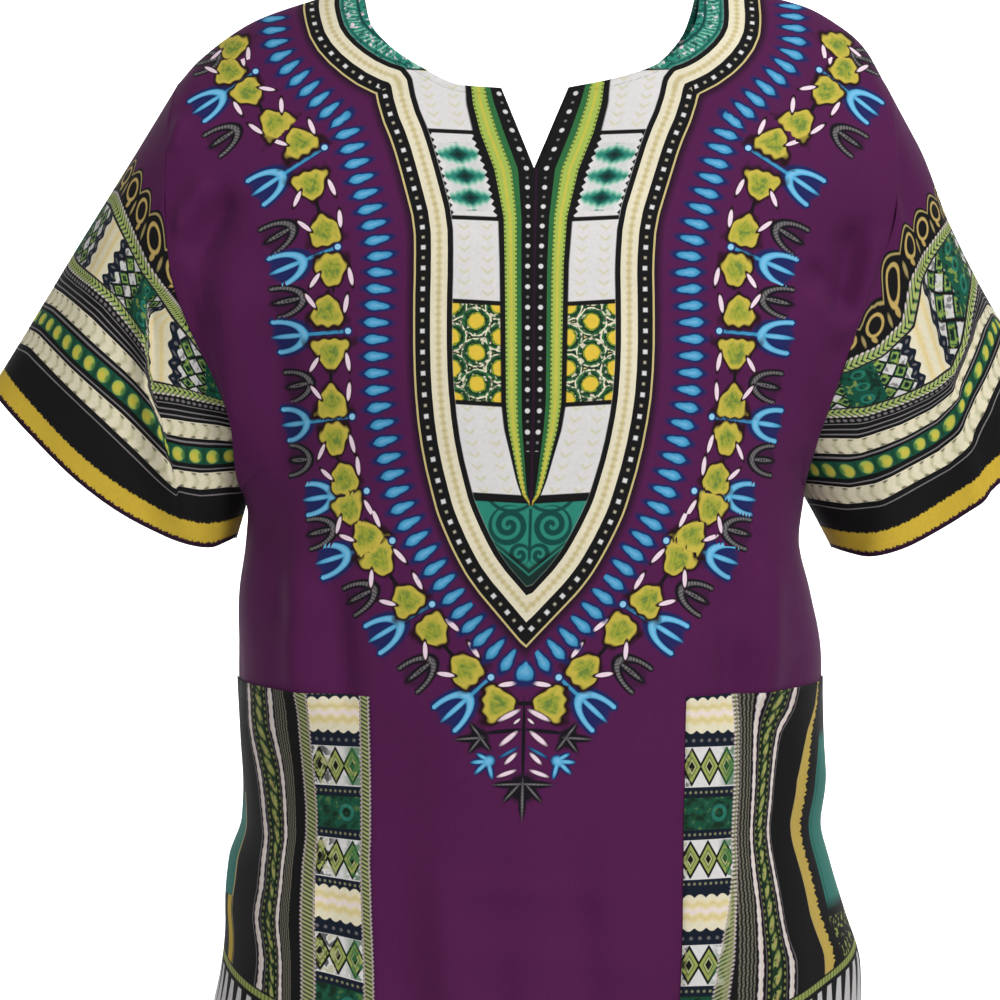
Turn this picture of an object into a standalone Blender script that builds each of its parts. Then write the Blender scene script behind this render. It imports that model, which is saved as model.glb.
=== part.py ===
"""A dashiki shirt as worn, in metres with +Z up and the front facing -Y: front, back, two sleeves and two patch pockets."""

import math

import bpy
import numpy as np

# Driving sizes, in metres. The origin is on the shoulder line, in the middle of the neck.
CLOTH = 0.0016
SEAM = 0.0003
NECK_HALF_WIDTH = 0.114
SLIT_END_HEIGHT = -0.1345
BACK_SLIT_END_HEIGHT = -0.120
SHOULDER_TIP_HEIGHT = -0.066
SHOULDER_RIDGE_RISE = 0.018
UNDERARM_HEIGHT = -0.342
UNDERARM_CENTRE_HEIGHT = -0.300
HEM_HEIGHT = -0.777
ARMHOLE_FRONT_REACH = 0.074
ARMHOLE_BACK_REACH = 0.080
ARMHOLE_TURN = 0.62
BODY_SQUARENESS = 0.045
SLEEVE_HALF_DEPTH = 0.056
POCKET_TOP_HEIGHT = -0.4680
POCKET_TOP_DIP = 0.0050
POCKET_BOTTOM_HEIGHT = -0.664
LEVEL_SHARE = 0.27

# How finely each piece is divided.
MIDDLE_COLUMNS = 5
POCKET_COLUMNS = 9
ARMHOLE_ROWS = 16
ROWS_ABOVE_POCKET = 6
POCKET_ROWS = 10
ROWS_BELOW_POCKET = 6
SLEEVE_ROWS = 8

# Side edge of the panels: the armhole above the underarm and the side seam below it.
EDGE_COLUMNS = ("height", "right_reach", "left_reach")
EDGE = (
    (-0.066, 0.2380, 0.2400),
    (-0.105, 0.2405, 0.2420),
    (-0.142, 0.2410, 0.2410),
    (-0.168, 0.2395, 0.2370),
    (-0.200, 0.2355, 0.2260),
    (-0.237, 0.2230, 0.2130),
    (-0.262, 0.2110, 0.2050),
    (-0.285, 0.2020, 0.1975),
    (-0.312, 0.1940, 0.1895),
    (-0.342, 0.1910, 0.1845),
    (-0.373, 0.1930, 0.1825),
    (-0.410, 0.1965, 0.1900),
    (-0.464, 0.1980, 0.1975),
    (-0.531, 0.1935, 0.1985),
    (-0.564, 0.1950, 0.1955),
    (-0.590, 0.2025, 0.2015),
    (-0.627, 0.2030, 0.2120),
    (-0.660, 0.2075, 0.2215),
    (-0.700, 0.2150, 0.2235),
    (-0.777, 0.2250, 0.2310),
)

# Profile of the middle of the front and of the back, seen from the side.
PROFILE_COLUMNS = ("height", "front_depth", "back_depth")
PROFILE = (
    (0.018, 0.0000, 0.0000),
    (0.0172, 0.0080, 0.0140),
    (0.014, 0.0185, 0.0340),
    (0.008, 0.0275, 0.0530),
    (0.000, 0.0355, 0.0660),
    (-0.030, 0.0580, 0.0860),
    (-0.080, 0.0800, 0.1060),
    (-0.135, 0.1000, 0.1190),
    (-0.200, 0.1180, 0.1260),
    (-0.300, 0.1340, 0.1240),
    (-0.400, 0.1320, 0.1130),
    (-0.500, 0.1270, 0.1120),
    (-0.600, 0.1300, 0.1240),
    (-0.700, 0.1380, 0.1350),
    (-0.777, 0.1440, 0.1410),
)

# Fall of each shoulder from the middle to the tip, as a share of the whole fall.
RIDGE_COLUMNS = ("reach", "right_height", "left_height")
RIDGE = (
    (0.00, 1.000, 1.000),
    (0.25, 0.935, 0.945),
    (0.48, 0.786, 0.795),
    (0.64, 0.660, 0.725),
    (0.77, 0.520, 0.635),
    (0.89, 0.315, 0.435),
    (0.95, 0.180, 0.265),
    (1.00, 0.000, 0.000),
)

# The neck edge, seen from the front.
NECK_COLUMNS = ("right_x", "right_height", "left_x", "left_height")
NECK = (
    (-0.1140, 0.000, 0.1140, 0.000),
    (-0.1115, -0.013, 0.1130, -0.013),
    (-0.1065, -0.032, 0.1100, -0.029),
    (-0.0925, -0.050, 0.1000, -0.047),
    (-0.0725, -0.0645, 0.0815, -0.0632),
    (-0.0465, -0.0775, 0.0550, -0.0730),
    (-0.0195, -0.0800, 0.0240, -0.0798),
)

# The back neck edge, the same on both sides. It is cut as low as the photo, which shows nothing behind the neck, needs.
BACK_NECK_COLUMNS = ("x", "height")
BACK_NECK = (
    (0.1140, 0.000),
    (0.1132, -0.007),
    (0.1095, -0.019),
    (0.0975, -0.034),
    (0.0780, -0.047),
    (0.0520, -0.056),
    (0.0310, -0.060),
)

# The hem of each sleeve: its outer corner, its inner corner, and how far the front hangs under both.
SLEEVE_COLUMNS = ("outer_x", "outer_height", "inner_x", "inner_height", "hang", "hang_in")
SLEEVES = {
    "right": (-0.3660, -0.272, -0.2000, -0.374, 0.039, 0.020),
    "left": (0.3605, -0.287, 0.2050, -0.381, 0.0345, 0.012),
}

# The largest folds of the front, each a soft ridge or trough from one point to another.
FOLD_COLUMNS = ("start_x", "start_height", "end_x", "end_height", "half_width", "rise")
FRONT_FOLDS = (
    (-0.200, -0.140, -0.222, -0.245, 0.014, -0.0050),
    (-0.176, -0.180, -0.196, -0.300, 0.016, 0.0035),
    (0.222, -0.150, 0.204, -0.262, 0.014, -0.0045),
    (0.188, -0.210, 0.176, -0.320, 0.015, 0.0035),
    (-0.150, -0.560, -0.182, -0.760, 0.026, 0.0080),
    (-0.085, -0.600, -0.102, -0.775, 0.022, -0.0055),
    (-0.020, -0.640, -0.026, -0.778, 0.030, 0.0050),
    (0.060, -0.620, 0.074, -0.778, 0.024, -0.0060),
    (0.130, -0.560, 0.160, -0.765, 0.028, 0.0080),
    (0.110, -0.420, 0.168, -0.450, 0.014, 0.0025),
    (-0.120, -0.405, -0.172, -0.430, 0.014, 0.0025),
)
BACK_FOLDS = (
    (-0.195, -0.160, -0.186, -0.300, 0.018, 0.0045),
    (0.195, -0.170, 0.184, -0.310, 0.018, 0.0045),
    (-0.120, -0.300, -0.150, -0.420, 0.020, -0.0040),
    (0.115, -0.310, 0.146, -0.430, 0.020, -0.0040),
    (-0.145, -0.520, -0.180, -0.765, 0.028, 0.0080),
    (-0.070, -0.560, -0.080, -0.778, 0.026, -0.0060),
    (0.005, -0.480, 0.012, -0.778, 0.030, 0.0065),
    (0.085, -0.560, 0.096, -0.778, 0.026, -0.0060),
    (0.150, -0.540, 0.184, -0.765, 0.028, 0.0080),
)

# The largest folds of a sleeve, along its length. An angle of 0 is on top and 90 is in front.
SLEEVE_FOLD_COLUMNS = ("start_row", "start_angle", "end_row", "end_angle", "half_angle", "rise")
SLEEVE_FOLDS = {
    "right": (
        (0.15, 52, 1.35, 121, 13, -0.0055),
        (0.25, 84, 1.35, 152, 13, 0.0045),
        (0.10, 28, 1.20, 72, 14, 0.0030),
        (0.10, 300, 1.35, 250, 15, -0.0050),
        (0.20, 326, 1.35, 290, 14, 0.0040),
    ),
    "left": (
        (0.12, 46, 1.35, 112, 13, -0.0050),
        (0.20, 80, 1.35, 145, 13, 0.0045),
        (0.18, -10, 0.80, 12, 30, -0.0075),
        (0.10, 304, 1.35, 254, 15, -0.0050),
        (0.20, 330, 1.35, 284, 14, 0.0040),
    ),
}

# How far the inner edge of each pocket is from the middle, at its top and at its bottom.
POCKET_NAMES = ("inner_x_top", "inner_x_bottom")
POCKETS = {
    "right": (0.1010, 0.0975),
    "left": (0.0955, 0.0910),
}

COLOURS = {
    "body": (0.105, 0.014, 0.100, 1.0),
    "border": (0.020, 0.022, 0.018, 1.0),
}


def column(table, names, name):
    """One named column of a table."""
    return np.array([row[names.index(name)] for row in table])


def curve(places, values, at):
    """A smooth curve through the values that never overshoots them."""
    places = np.asarray(places, float)
    values = np.asarray(values, float)
    if places[0] > places[-1]:
        places = places[::-1]
        values = values[::-1]
    steps = np.diff(places)
    rises = np.diff(values) / steps
    slopes = np.zeros(len(places))
    slopes[0] = rises[0]
    slopes[-1] = rises[-1]
    before = rises[:-1]
    after = rises[1:]
    same = before * after > 0
    mean = 2 * before * after / np.where(same, before + after, 1.0)
    slopes[1:-1] = np.where(same, mean, 0.0)
    at = np.clip(at, places[0], places[-1])
    k = np.clip(np.searchsorted(places, at) - 1, 0, len(steps) - 1)
    h = steps[k]
    t = (at - places[k]) / h
    start = (1 + 2 * t) * (1 - t) ** 2 * values[k] + t * (1 - t) ** 2 * h * slopes[k]
    end = t * t * (3 - 2 * t) * values[k + 1] + t * t * (t - 1) * h * slopes[k + 1]
    return start + end


def edge_point(q, side, front):
    """A point of the panel's side edge. q runs from 0 at the shoulder tip, over 1 at the underarm, to 2 at the hem."""
    q = np.asarray(q, float)
    turn = np.clip(q, 0, 1) * math.pi
    fall = np.clip(q - 1, 0, 1)
    height = SHOULDER_TIP_HEIGHT + (UNDERARM_HEIGHT - SHOULDER_TIP_HEIGHT) * (1 - np.cos(turn)) / 2
    height = height + (HEM_HEIGHT - UNDERARM_HEIGHT) * fall
    name = "left_reach" if side > 0 else "right_reach"
    x = side * curve(column(EDGE, EDGE_COLUMNS, "height"), column(EDGE, EDGE_COLUMNS, name), height)
    reach = -ARMHOLE_FRONT_REACH if front else ARMHOLE_BACK_REACH
    return x, reach * np.sin(turn), height


def base_point(u, q, front):
    """A point of a smooth panel. u runs from -1 at the wearer's right edge to 1 at the left one."""
    u = np.asarray(u, float)
    q = np.asarray(q, float)
    u, q = np.broadcast_arrays(u, q)
    right = edge_point(q, -1, front)
    left = edge_point(q, 1, front)
    edge = [np.where(u < 0, a, b) for a, b in zip(right, left)]
    share = np.clip(q, 0, 1)
    fall = np.clip(q - 1, 0, 1)
    middle = SHOULDER_RIDGE_RISE + (UNDERARM_CENTRE_HEIGHT - SHOULDER_RIDGE_RISE) * share
    level = np.clip(fall / LEVEL_SHARE, 0, 1)
    level = level * level * (3 - 2 * level)
    middle = middle + (HEM_HEIGHT - UNDERARM_HEIGHT) * fall - (UNDERARM_CENTRE_HEIGHT - UNDERARM_HEIGHT) * level
    name = "front_depth" if front else "back_depth"
    depth = curve(column(PROFILE, PROFILE_COLUMNS, "height"), column(PROFILE, PROFILE_COLUMNS, name), middle)
    depth = -depth if front else depth
    most = (ARMHOLE_TURN + (1 - ARMHOLE_TURN) * share**1.5) * math.pi / 2
    turn = np.abs(u) * most
    plump = BODY_SQUARENESS * np.sin(math.pi * np.abs(u)) * share
    across = np.sin(turn) / np.sin(most) + plump * np.cos(turn)
    along = (np.cos(turn) - np.cos(most)) / (1 - np.cos(most)) + plump * np.sin(turn)
    x = edge[0] * across
    y = edge[1] + (depth - edge[1]) * along
    places = column(RIDGE, RIDGE_COLUMNS, "reach")
    right_ridge = curve(places, column(RIDGE, RIDGE_COLUMNS, "right_height"), np.minimum(across, 1))
    left_ridge = curve(places, column(RIDGE, RIDGE_COLUMNS, "left_height"), np.minimum(across, 1))
    z = edge[2] + (middle - edge[2]) * np.where(u < 0, right_ridge, left_ridge)
    return np.stack([x, y, z], axis=-1)


def unit(vectors):
    return vectors / np.maximum(np.linalg.norm(vectors, axis=-1, keepdims=True), 1e-12)


def surface_normal(surface, u, q, front):
    """The way out from a surface at a point of it."""
    step = 1e-3
    across = surface(np.minimum(u + step, 1), q, front) - surface(np.maximum(u - step, -1), q, front)
    down = surface(u, np.minimum(q + step, 2), front) - surface(u, np.maximum(q - step, 0), front)
    normal = unit(np.cross(down, across))
    return normal if front else -normal


def fold_rise(x, z, folds):
    """How far the folds lift the cloth at a point seen from the front."""
    rise = np.zeros(np.shape(x))
    for fold in folds:
        start_x, start_z, end_x, end_z, half_width, height = fold
        length = math.hypot(end_x - start_x, end_z - start_z)
        dx = (end_x - start_x) / length
        dz = (end_z - start_z) / length
        along = (x - start_x) * dx + (z - start_z) * dz
        aside = (x - start_x) * dz - (z - start_z) * dx
        ends = np.clip(along / (0.35 * length), 0, 1) * np.clip((length * 1.15 - along) / (0.3 * length), 0, 1)
        ends = ends * ends * (3 - 2 * ends)
        rise = rise + height * ends * np.exp(-((aside / half_width) ** 2))
    return rise


def panel_point(u, q, front):
    """A point of the panel with its folds."""
    u, q = np.broadcast_arrays(np.asarray(u, float), np.asarray(q, float))
    point = base_point(u, q, front)
    rise = fold_rise(point[..., 0], point[..., 2], FRONT_FOLDS if front else BACK_FOLDS)
    calm = np.clip((1 - np.abs(u)) / 0.12, 0, 1)
    return point + surface_normal(base_point, u, q, front) * (rise * calm)[..., None]


def sleeve_hem_point(angle, side):
    name = "left" if side > 0 else "right"
    outer_x, outer_z, inner_x, inner_z, hang, hang_in = SLEEVES[name]
    turn = np.radians(angle)
    across = np.cos(turn)
    x = (outer_x + inner_x) / 2 + across * (outer_x - inner_x) / 2 - side * hang_in * np.sin(turn) ** 2
    y = -SLEEVE_HALF_DEPTH * np.sin(turn)
    low = np.where(np.sin(turn) > 0, hang, hang - 0.006)
    z = (outer_z + inner_z) / 2 + across * (outer_z - inner_z) / 2 - low * np.sin(turn) ** 2
    return np.stack([x, y, z], axis=-1)


def armhole_point(angle, side):
    angle = np.mod(angle, 360)
    front = edge_point(angle / 180, side, True)
    back = edge_point((360 - angle) / 180, side, False)
    return np.stack([np.where(angle <= 180, a, b) for a, b in zip(front, back)], axis=-1)


def sleeve_base(row, angle, side):
    row, angle = np.broadcast_arrays(np.asarray(row, float), np.asarray(angle, float))
    start = armhole_point(angle, side)
    end = sleeve_hem_point(angle, side)
    return start + (end - start) * row[..., None]


def sleeve_point(row, angle, side):
    """A point of a sleeve. row runs from 0 at the armhole to 1 at the hem."""
    row, angle = np.broadcast_arrays(np.asarray(row, float), np.asarray(angle, float))
    point = sleeve_base(row, angle, side)
    around = sleeve_base(row, angle + 1, side) - sleeve_base(row, angle - 1, side)
    down = sleeve_base(row + 0.01, angle, side) - sleeve_base(row - 0.01, angle, side)
    normal = unit(np.cross(around, down)) * side
    rise = np.zeros(row.shape)
    for fold in SLEEVE_FOLDS["left" if side > 0 else "right"]:
        start_row, start_angle, end_row, end_angle, half_angle, height = fold
        share = (row - start_row) / (end_row - start_row)
        middle = start_angle + (end_angle - start_angle) * share
        aside = (angle - middle + 180) % 360 - 180
        ends = np.clip(share / 0.35, 0, 1) * np.clip((1.15 - share) / 0.35, 0, 1)
        ends = ends * ends * (3 - 2 * ends)
        rise = rise + height * ends * np.exp(-((aside / half_angle) ** 2))
    return point + normal * rise[..., None]


def start_scene():
    for thing in list(bpy.data.objects):
        bpy.data.objects.remove(thing)
    made = bpy.data.collections.new("dashiki_shirt")
    cutters = bpy.data.collections.new("cutters")
    cutters.hide_render = True
    bpy.context.scene.collection.children.link(made)
    bpy.context.scene.collection.children.link(cutters)
    return made, cutters


def cloth_material(name, colour, roughness):
    made = bpy.data.materials.new(name)
    made.use_nodes = True
    shader = made.node_tree.nodes["Principled BSDF"]
    shader.inputs["Base Color"].default_value = colour
    shader.inputs["Roughness"].default_value = roughness
    shader.inputs["Metallic"].default_value = 0.0
    return made


def mesh_object(name, points, faces, collection, material=None):
    mesh = bpy.data.meshes.new(name)
    mesh.from_pydata([tuple(map(float, p)) for p in points], [], faces)
    mesh.validate()
    mesh.shade_smooth()
    made = bpy.data.objects.new(name, mesh)
    collection.objects.link(made)
    if material:
        mesh.materials.append(material)
    return made


def grid_faces(rows, columns, closed=False, flip=False):
    faces = []
    for r in range(rows - 1):
        for c in range(columns if closed else columns - 1):
            d = (c + 1) % columns
            face = (r * columns + c, (r + 1) * columns + c, (r + 1) * columns + d, r * columns + d)
            faces.append(face[::-1] if flip else face)
    return faces


def thicken(made):
    wall = made.modifiers.new("cloth", "SOLIDIFY")
    wall.thickness = CLOTH
    wall.offset = -1
    wall.use_even_offset = True
    wall.use_quality_normals = True


def prism(name, outline, front, back, collection):
    """A cutter: an outline drawn from the front and drawn out from front to back."""
    points = [(x, front, z) for x, z in outline] + [(x, back, z) for x, z in outline]
    count = len(outline)
    faces = [tuple(range(count)), tuple(range(2 * count - 1, count - 1, -1))]
    for k in range(count):
        n = (k + 1) % count
        faces.append((n, k, k + count, n + count))
    made = mesh_object(name, points, faces, collection)
    made.hide_render = True
    return made


def cut(made, cutter):
    step = made.modifiers.new(cutter.name, "BOOLEAN")
    step.operation = "DIFFERENCE"
    step.solver = "EXACT"
    step.object = cutter


def neck_outline():
    """The scoop and the slit, closed above the shoulders."""
    share = np.linspace(0, 1, 15)
    places = np.linspace(0, 1, len(NECK))
    sides = {}
    for side in ("right", "left"):
        x = curve(places, column(NECK, NECK_COLUMNS, side + "_x"), share)
        z = curve(places, column(NECK, NECK_COLUMNS, side + "_height"), share)
        sides[side] = list(zip(x, z))
    top = [(NECK_HALF_WIDTH, 0.06), (-NECK_HALF_WIDTH, 0.06)]
    return sides["right"] + [(0.0015, SLIT_END_HEIGHT)] + sides["left"][::-1] + top


def back_neck_outline():
    share = np.linspace(0, 1, 15)
    places = np.linspace(0, 1, len(BACK_NECK))
    x = curve(places, column(BACK_NECK, BACK_NECK_COLUMNS, "x"), share)
    z = curve(places, column(BACK_NECK, BACK_NECK_COLUMNS, "height"), share)
    right = list(zip(-x, z))
    left = list(zip(x, z))
    top = [(NECK_HALF_WIDTH, 0.06), (-NECK_HALF_WIDTH, 0.06)]
    return right + [(0.0, BACK_SLIT_END_HEIGHT)] + left[::-1] + top


def panel_rows():
    """The rows of a panel, close together at the shoulder and at the underarm, with one on each pocket's top and bottom."""
    even = np.linspace(0, 1, ARMHOLE_ROWS + 1)
    upper = 0.6 * even * even * (3 - 2 * even) + 0.4 * even**1.3
    drop = HEM_HEIGHT - UNDERARM_HEIGHT
    top = 1 + (POCKET_TOP_HEIGHT - UNDERARM_HEIGHT) / drop
    bottom = 1 + (POCKET_BOTTOM_HEIGHT - UNDERARM_HEIGHT) / drop
    above = np.linspace(1, top, ROWS_ABOVE_POCKET + 1)[1:]
    beside = np.linspace(top, bottom, POCKET_ROWS + 1)[1:]
    below = np.linspace(bottom, 2, ROWS_BELOW_POCKET + 1)[1:]
    return np.concatenate([upper, above, beside, below])


def panel_grid():
    """Where the panel's columns and rows cross, as u and q. A column follows the inner edge of each pocket."""
    rows = panel_rows()
    q = np.repeat(rows[:, None], 2 * (POCKET_COLUMNS + MIDDLE_COLUMNS) + 1, axis=1)
    height = edge_point(rows, 1, True)[2]
    halves = []
    for side in ("right", "left"):
        top_x, bottom_x = POCKETS[side]
        share = (height - POCKET_TOP_HEIGHT) / (POCKET_BOTTOM_HEIGHT - POCKET_TOP_HEIGHT)
        inner_x = top_x + (bottom_x - top_x) * np.clip(share, 0, 1.3)
        reach = curve(column(EDGE, EDGE_COLUMNS, "height"), column(EDGE, EDGE_COLUMNS, side + "_reach"), height)
        inner = np.arcsin(inner_x / reach) / (math.pi / 2) * 0.955
        inner = np.where(rows < 1, inner[ARMHOLE_ROWS], inner)[:, None]
        middle = inner * np.linspace(0, 1, MIDDLE_COLUMNS + 1)[None, :]
        outer = inner + (1 - inner) * np.linspace(0, 1, POCKET_COLUMNS + 1)[None, 1:]
        halves.append(np.concatenate([middle, outer], axis=1))
    u = np.concatenate([-halves[0][:, ::-1], halves[1][:, 1:]], axis=1)
    top_row = ARMHOLE_ROWS + ROWS_ABOVE_POCKET
    places = (0, ARMHOLE_ROWS, top_row, top_row + POCKET_ROWS, len(rows) - 1)
    dip = np.interp(np.arange(len(rows)), places, (0, 0, POCKET_TOP_DIP, 0, 0))[:, None]
    q = q + dip / (UNDERARM_HEIGHT - HEM_HEIGHT) * (1 - np.abs(u)) / (1 - 0.33)
    return u, q


def panel(name, front, collection, material):
    u, q = panel_grid()
    points = panel_point(u, q, front)
    apart = -SEAM / 2 if front else SEAM / 2
    points[..., 1] += 1.4 * apart
    points[0, :, 1] += 1.6 * apart
    made = mesh_object(name, points.reshape(-1, 3), grid_faces(*u.shape, flip=not front), collection, material)
    thicken(made)
    return made


def pocket(name, side, collection, material):
    """A pocket made from the front panel's own points, moved out."""
    u, q = panel_grid()
    rows = slice(ARMHOLE_ROWS + ROWS_ABOVE_POCKET, ARMHOLE_ROWS + ROWS_ABOVE_POCKET + POCKET_ROWS + 1)
    columns = slice(-POCKET_COLUMNS - 1, None) if side > 0 else slice(0, POCKET_COLUMNS + 1)
    u = u[rows, columns]
    q = q[rows, columns]
    points = panel_point(u, q, True) + surface_normal(panel_point, u, q, True) * (CLOTH + SEAM + 0.0001)
    points[..., 1] += -SEAM * 0.7
    made = mesh_object(name, points.reshape(-1, 3), grid_faces(*u.shape), collection, material)
    thicken(made)
    return made


def sleeve(name, side, collection, material):
    """A sleeve whose first ring stands just outside the edges of the panels, point by point."""
    rows = np.linspace(0, 1, SLEEVE_ROWS + 1)
    turn = panel_rows()[: ARMHOLE_ROWS + 1] * 180
    angles = np.concatenate([turn, 360 - turn[-2:0:-1]])
    points = sleeve_point(rows[:, None], angles[None, :], side)
    out = unit(sleeve_base(1.0, angles, side) - sleeve_base(0.0, angles, side)) * SEAM
    out[..., 0] += side * SEAM * (1 + 2 * np.cos(np.radians(angles / 2)) ** 2)
    points[0] += out
    made = mesh_object(
        name,
        points.reshape(-1, 3),
        grid_faces(len(rows), len(angles), closed=True, flip=side > 0),
        collection,
        material,
    )
    thicken(made)
    return made


def build():
    made, cutters = start_scene()
    body_cloth = cloth_material("body_cloth", COLOURS["body"], 0.8)
    back_cloth = cloth_material("back_cloth", COLOURS["body"], 0.82)
    left_sleeve_cloth = cloth_material("sleeve_left_cloth", COLOURS["border"], 0.78)
    right_sleeve_cloth = cloth_material("sleeve_right_cloth", COLOURS["border"], 0.79)
    left_pocket_cloth = cloth_material("pocket_left_cloth", COLOURS["border"], 0.8)
    right_pocket_cloth = cloth_material("pocket_right_cloth", COLOURS["border"], 0.81)
    front = panel("front", True, made, body_cloth)
    back = panel("back", False, made, back_cloth)
    cut(front, prism("neck_scoop_cutter", neck_outline(), -0.25, 0.02, cutters))
    cut(back, prism("back_neck_cutter", back_neck_outline(), -0.02, 0.25, cutters))
    sleeve("sleeve_left", 1, made, left_sleeve_cloth)
    sleeve("sleeve_right", -1, made, right_sleeve_cloth)
    pocket("pocket_left", 1, made, left_pocket_cloth)
    pocket("pocket_right", -1, made, right_pocket_cloth)


build()
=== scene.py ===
"""The looks of a dashiki shirt as worn: thin printed cotton on the form of its solids, in metres with +Z up."""

import math

import bpy
import numpy as np
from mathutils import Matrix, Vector
from mathutils.geometry import delaunay_2d_cdt


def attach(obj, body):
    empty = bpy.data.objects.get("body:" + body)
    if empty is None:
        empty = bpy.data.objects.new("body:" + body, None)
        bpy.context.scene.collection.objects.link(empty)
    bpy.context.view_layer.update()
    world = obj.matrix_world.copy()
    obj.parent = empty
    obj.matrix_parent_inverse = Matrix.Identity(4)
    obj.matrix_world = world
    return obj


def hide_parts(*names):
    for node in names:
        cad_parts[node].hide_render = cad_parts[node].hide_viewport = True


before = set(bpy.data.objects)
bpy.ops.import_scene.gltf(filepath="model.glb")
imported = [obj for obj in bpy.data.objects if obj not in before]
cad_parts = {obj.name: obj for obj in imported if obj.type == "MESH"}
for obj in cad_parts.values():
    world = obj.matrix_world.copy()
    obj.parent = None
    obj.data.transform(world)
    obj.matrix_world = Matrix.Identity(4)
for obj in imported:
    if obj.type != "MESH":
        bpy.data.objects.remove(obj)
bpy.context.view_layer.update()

# Sizes of the cloth, in metres.
CLOTH = 0.0009
POCKET_STAND = 0.0012
COLUMNS = 176
ARMHOLE_ROWS = 100
LOWER_ROWS = 124
SLEEVE_ROWS = 76
SLEEVE_COLUMNS_ROUND = 150
POCKET_ROWS = 60
POCKET_COLUMNS = 44

# Driving sizes, in metres. The origin is on the shoulder line, in the middle of the neck.
SLIT_END_HEIGHT = -0.1345
BACK_SLIT_END_HEIGHT = -0.120
SHOULDER_TIP_HEIGHT = -0.066
SHOULDER_RIDGE_RISE = 0.018
UNDERARM_HEIGHT = -0.342
UNDERARM_CENTRE_HEIGHT = -0.300
HEM_HEIGHT = -0.777
ARMHOLE_FRONT_REACH = 0.074
ARMHOLE_BACK_REACH = 0.080
ARMHOLE_TURN = 0.62
BODY_SQUARENESS = 0.045
SLEEVE_HALF_DEPTH = 0.056
POCKET_TOP_HEIGHT = -0.4680
POCKET_TOP_DIP = 0.0050
POCKET_BOTTOM_HEIGHT = -0.684
LEVEL_SHARE = 0.27

# Side edge of the panels: the armhole above the underarm and the side seam below it.
EDGE_COLUMNS = ("height", "right_reach", "left_reach")
EDGE = (
    (-0.066, 0.2380, 0.2400),
    (-0.105, 0.2405, 0.2420),
    (-0.142, 0.2410, 0.2410),
    (-0.168, 0.2395, 0.2370),
    (-0.200, 0.2355, 0.2260),
    (-0.237, 0.2230, 0.2130),
    (-0.262, 0.2110, 0.2050),
    (-0.285, 0.2020, 0.1975),
    (-0.312, 0.1940, 0.1895),
    (-0.342, 0.1910, 0.1845),
    (-0.373, 0.1930, 0.1825),
    (-0.410, 0.1965, 0.1900),
    (-0.464, 0.1980, 0.1975),
    (-0.531, 0.1935, 0.1985),
    (-0.564, 0.1950, 0.1955),
    (-0.590, 0.2025, 0.2015),
    (-0.627, 0.2030, 0.2120),
    (-0.660, 0.2075, 0.2215),
    (-0.700, 0.2150, 0.2235),
    (-0.777, 0.2250, 0.2310),
)

# Profile of the middle of the front and of the back, seen from the side.
PROFILE_COLUMNS = ("height", "front_depth", "back_depth")
PROFILE = (
    (0.018, 0.0000, 0.0000),
    (0.0172, 0.0080, 0.0140),
    (0.014, 0.0185, 0.0340),
    (0.008, 0.0275, 0.0530),
    (0.000, 0.0355, 0.0660),
    (-0.030, 0.0580, 0.0860),
    (-0.080, 0.0800, 0.1060),
    (-0.135, 0.1000, 0.1190),
    (-0.200, 0.1180, 0.1260),
    (-0.300, 0.1340, 0.1240),
    (-0.400, 0.1320, 0.1130),
    (-0.500, 0.1270, 0.1120),
    (-0.600, 0.1300, 0.1240),
    (-0.700, 0.1380, 0.1350),
    (-0.777, 0.1440, 0.1410),
)

# Fall of each shoulder from the middle to the tip, as a share of the whole fall.
RIDGE_COLUMNS = ("reach", "right_height", "left_height")
RIDGE = (
    (0.00, 1.000, 1.000),
    (0.25, 0.935, 0.945),
    (0.48, 0.786, 0.795),
    (0.64, 0.660, 0.725),
    (0.77, 0.520, 0.635),
    (0.89, 0.315, 0.435),
    (0.95, 0.180, 0.265),
    (1.00, 0.000, 0.000),
)

# The neck edge, seen from the front.
NECK_COLUMNS = ("right_x", "right_height", "left_x", "left_height")
NECK = (
    (-0.1140, 0.000, 0.1140, 0.000),
    (-0.1115, -0.013, 0.1130, -0.013),
    (-0.1065, -0.032, 0.1100, -0.029),
    (-0.0925, -0.050, 0.1000, -0.047),
    (-0.0725, -0.0645, 0.0815, -0.0632),
    (-0.0465, -0.0775, 0.0550, -0.0730),
    (-0.0195, -0.0800, 0.0240, -0.0798),
)

# The back neck edge, the same on both sides. It is cut as low as the photo, which shows nothing behind the neck, needs.
BACK_NECK_COLUMNS = ("x", "height")
BACK_NECK = (
    (0.1140, 0.000),
    (0.1132, -0.007),
    (0.1095, -0.019),
    (0.0975, -0.034),
    (0.0780, -0.047),
    (0.0520, -0.056),
    (0.0310, -0.060),
)

# The hem of each sleeve: its outer corner, its inner corner, and how far the front hangs under both.
SLEEVE_COLUMNS = ("outer_x", "outer_height", "inner_x", "inner_height", "hang", "hang_in")
SLEEVES = {
    "right": (-0.3660, -0.272, -0.2000, -0.374, 0.039, 0.020),
    "left": (0.3605, -0.287, 0.2050, -0.381, 0.0345, 0.012),
}

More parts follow.
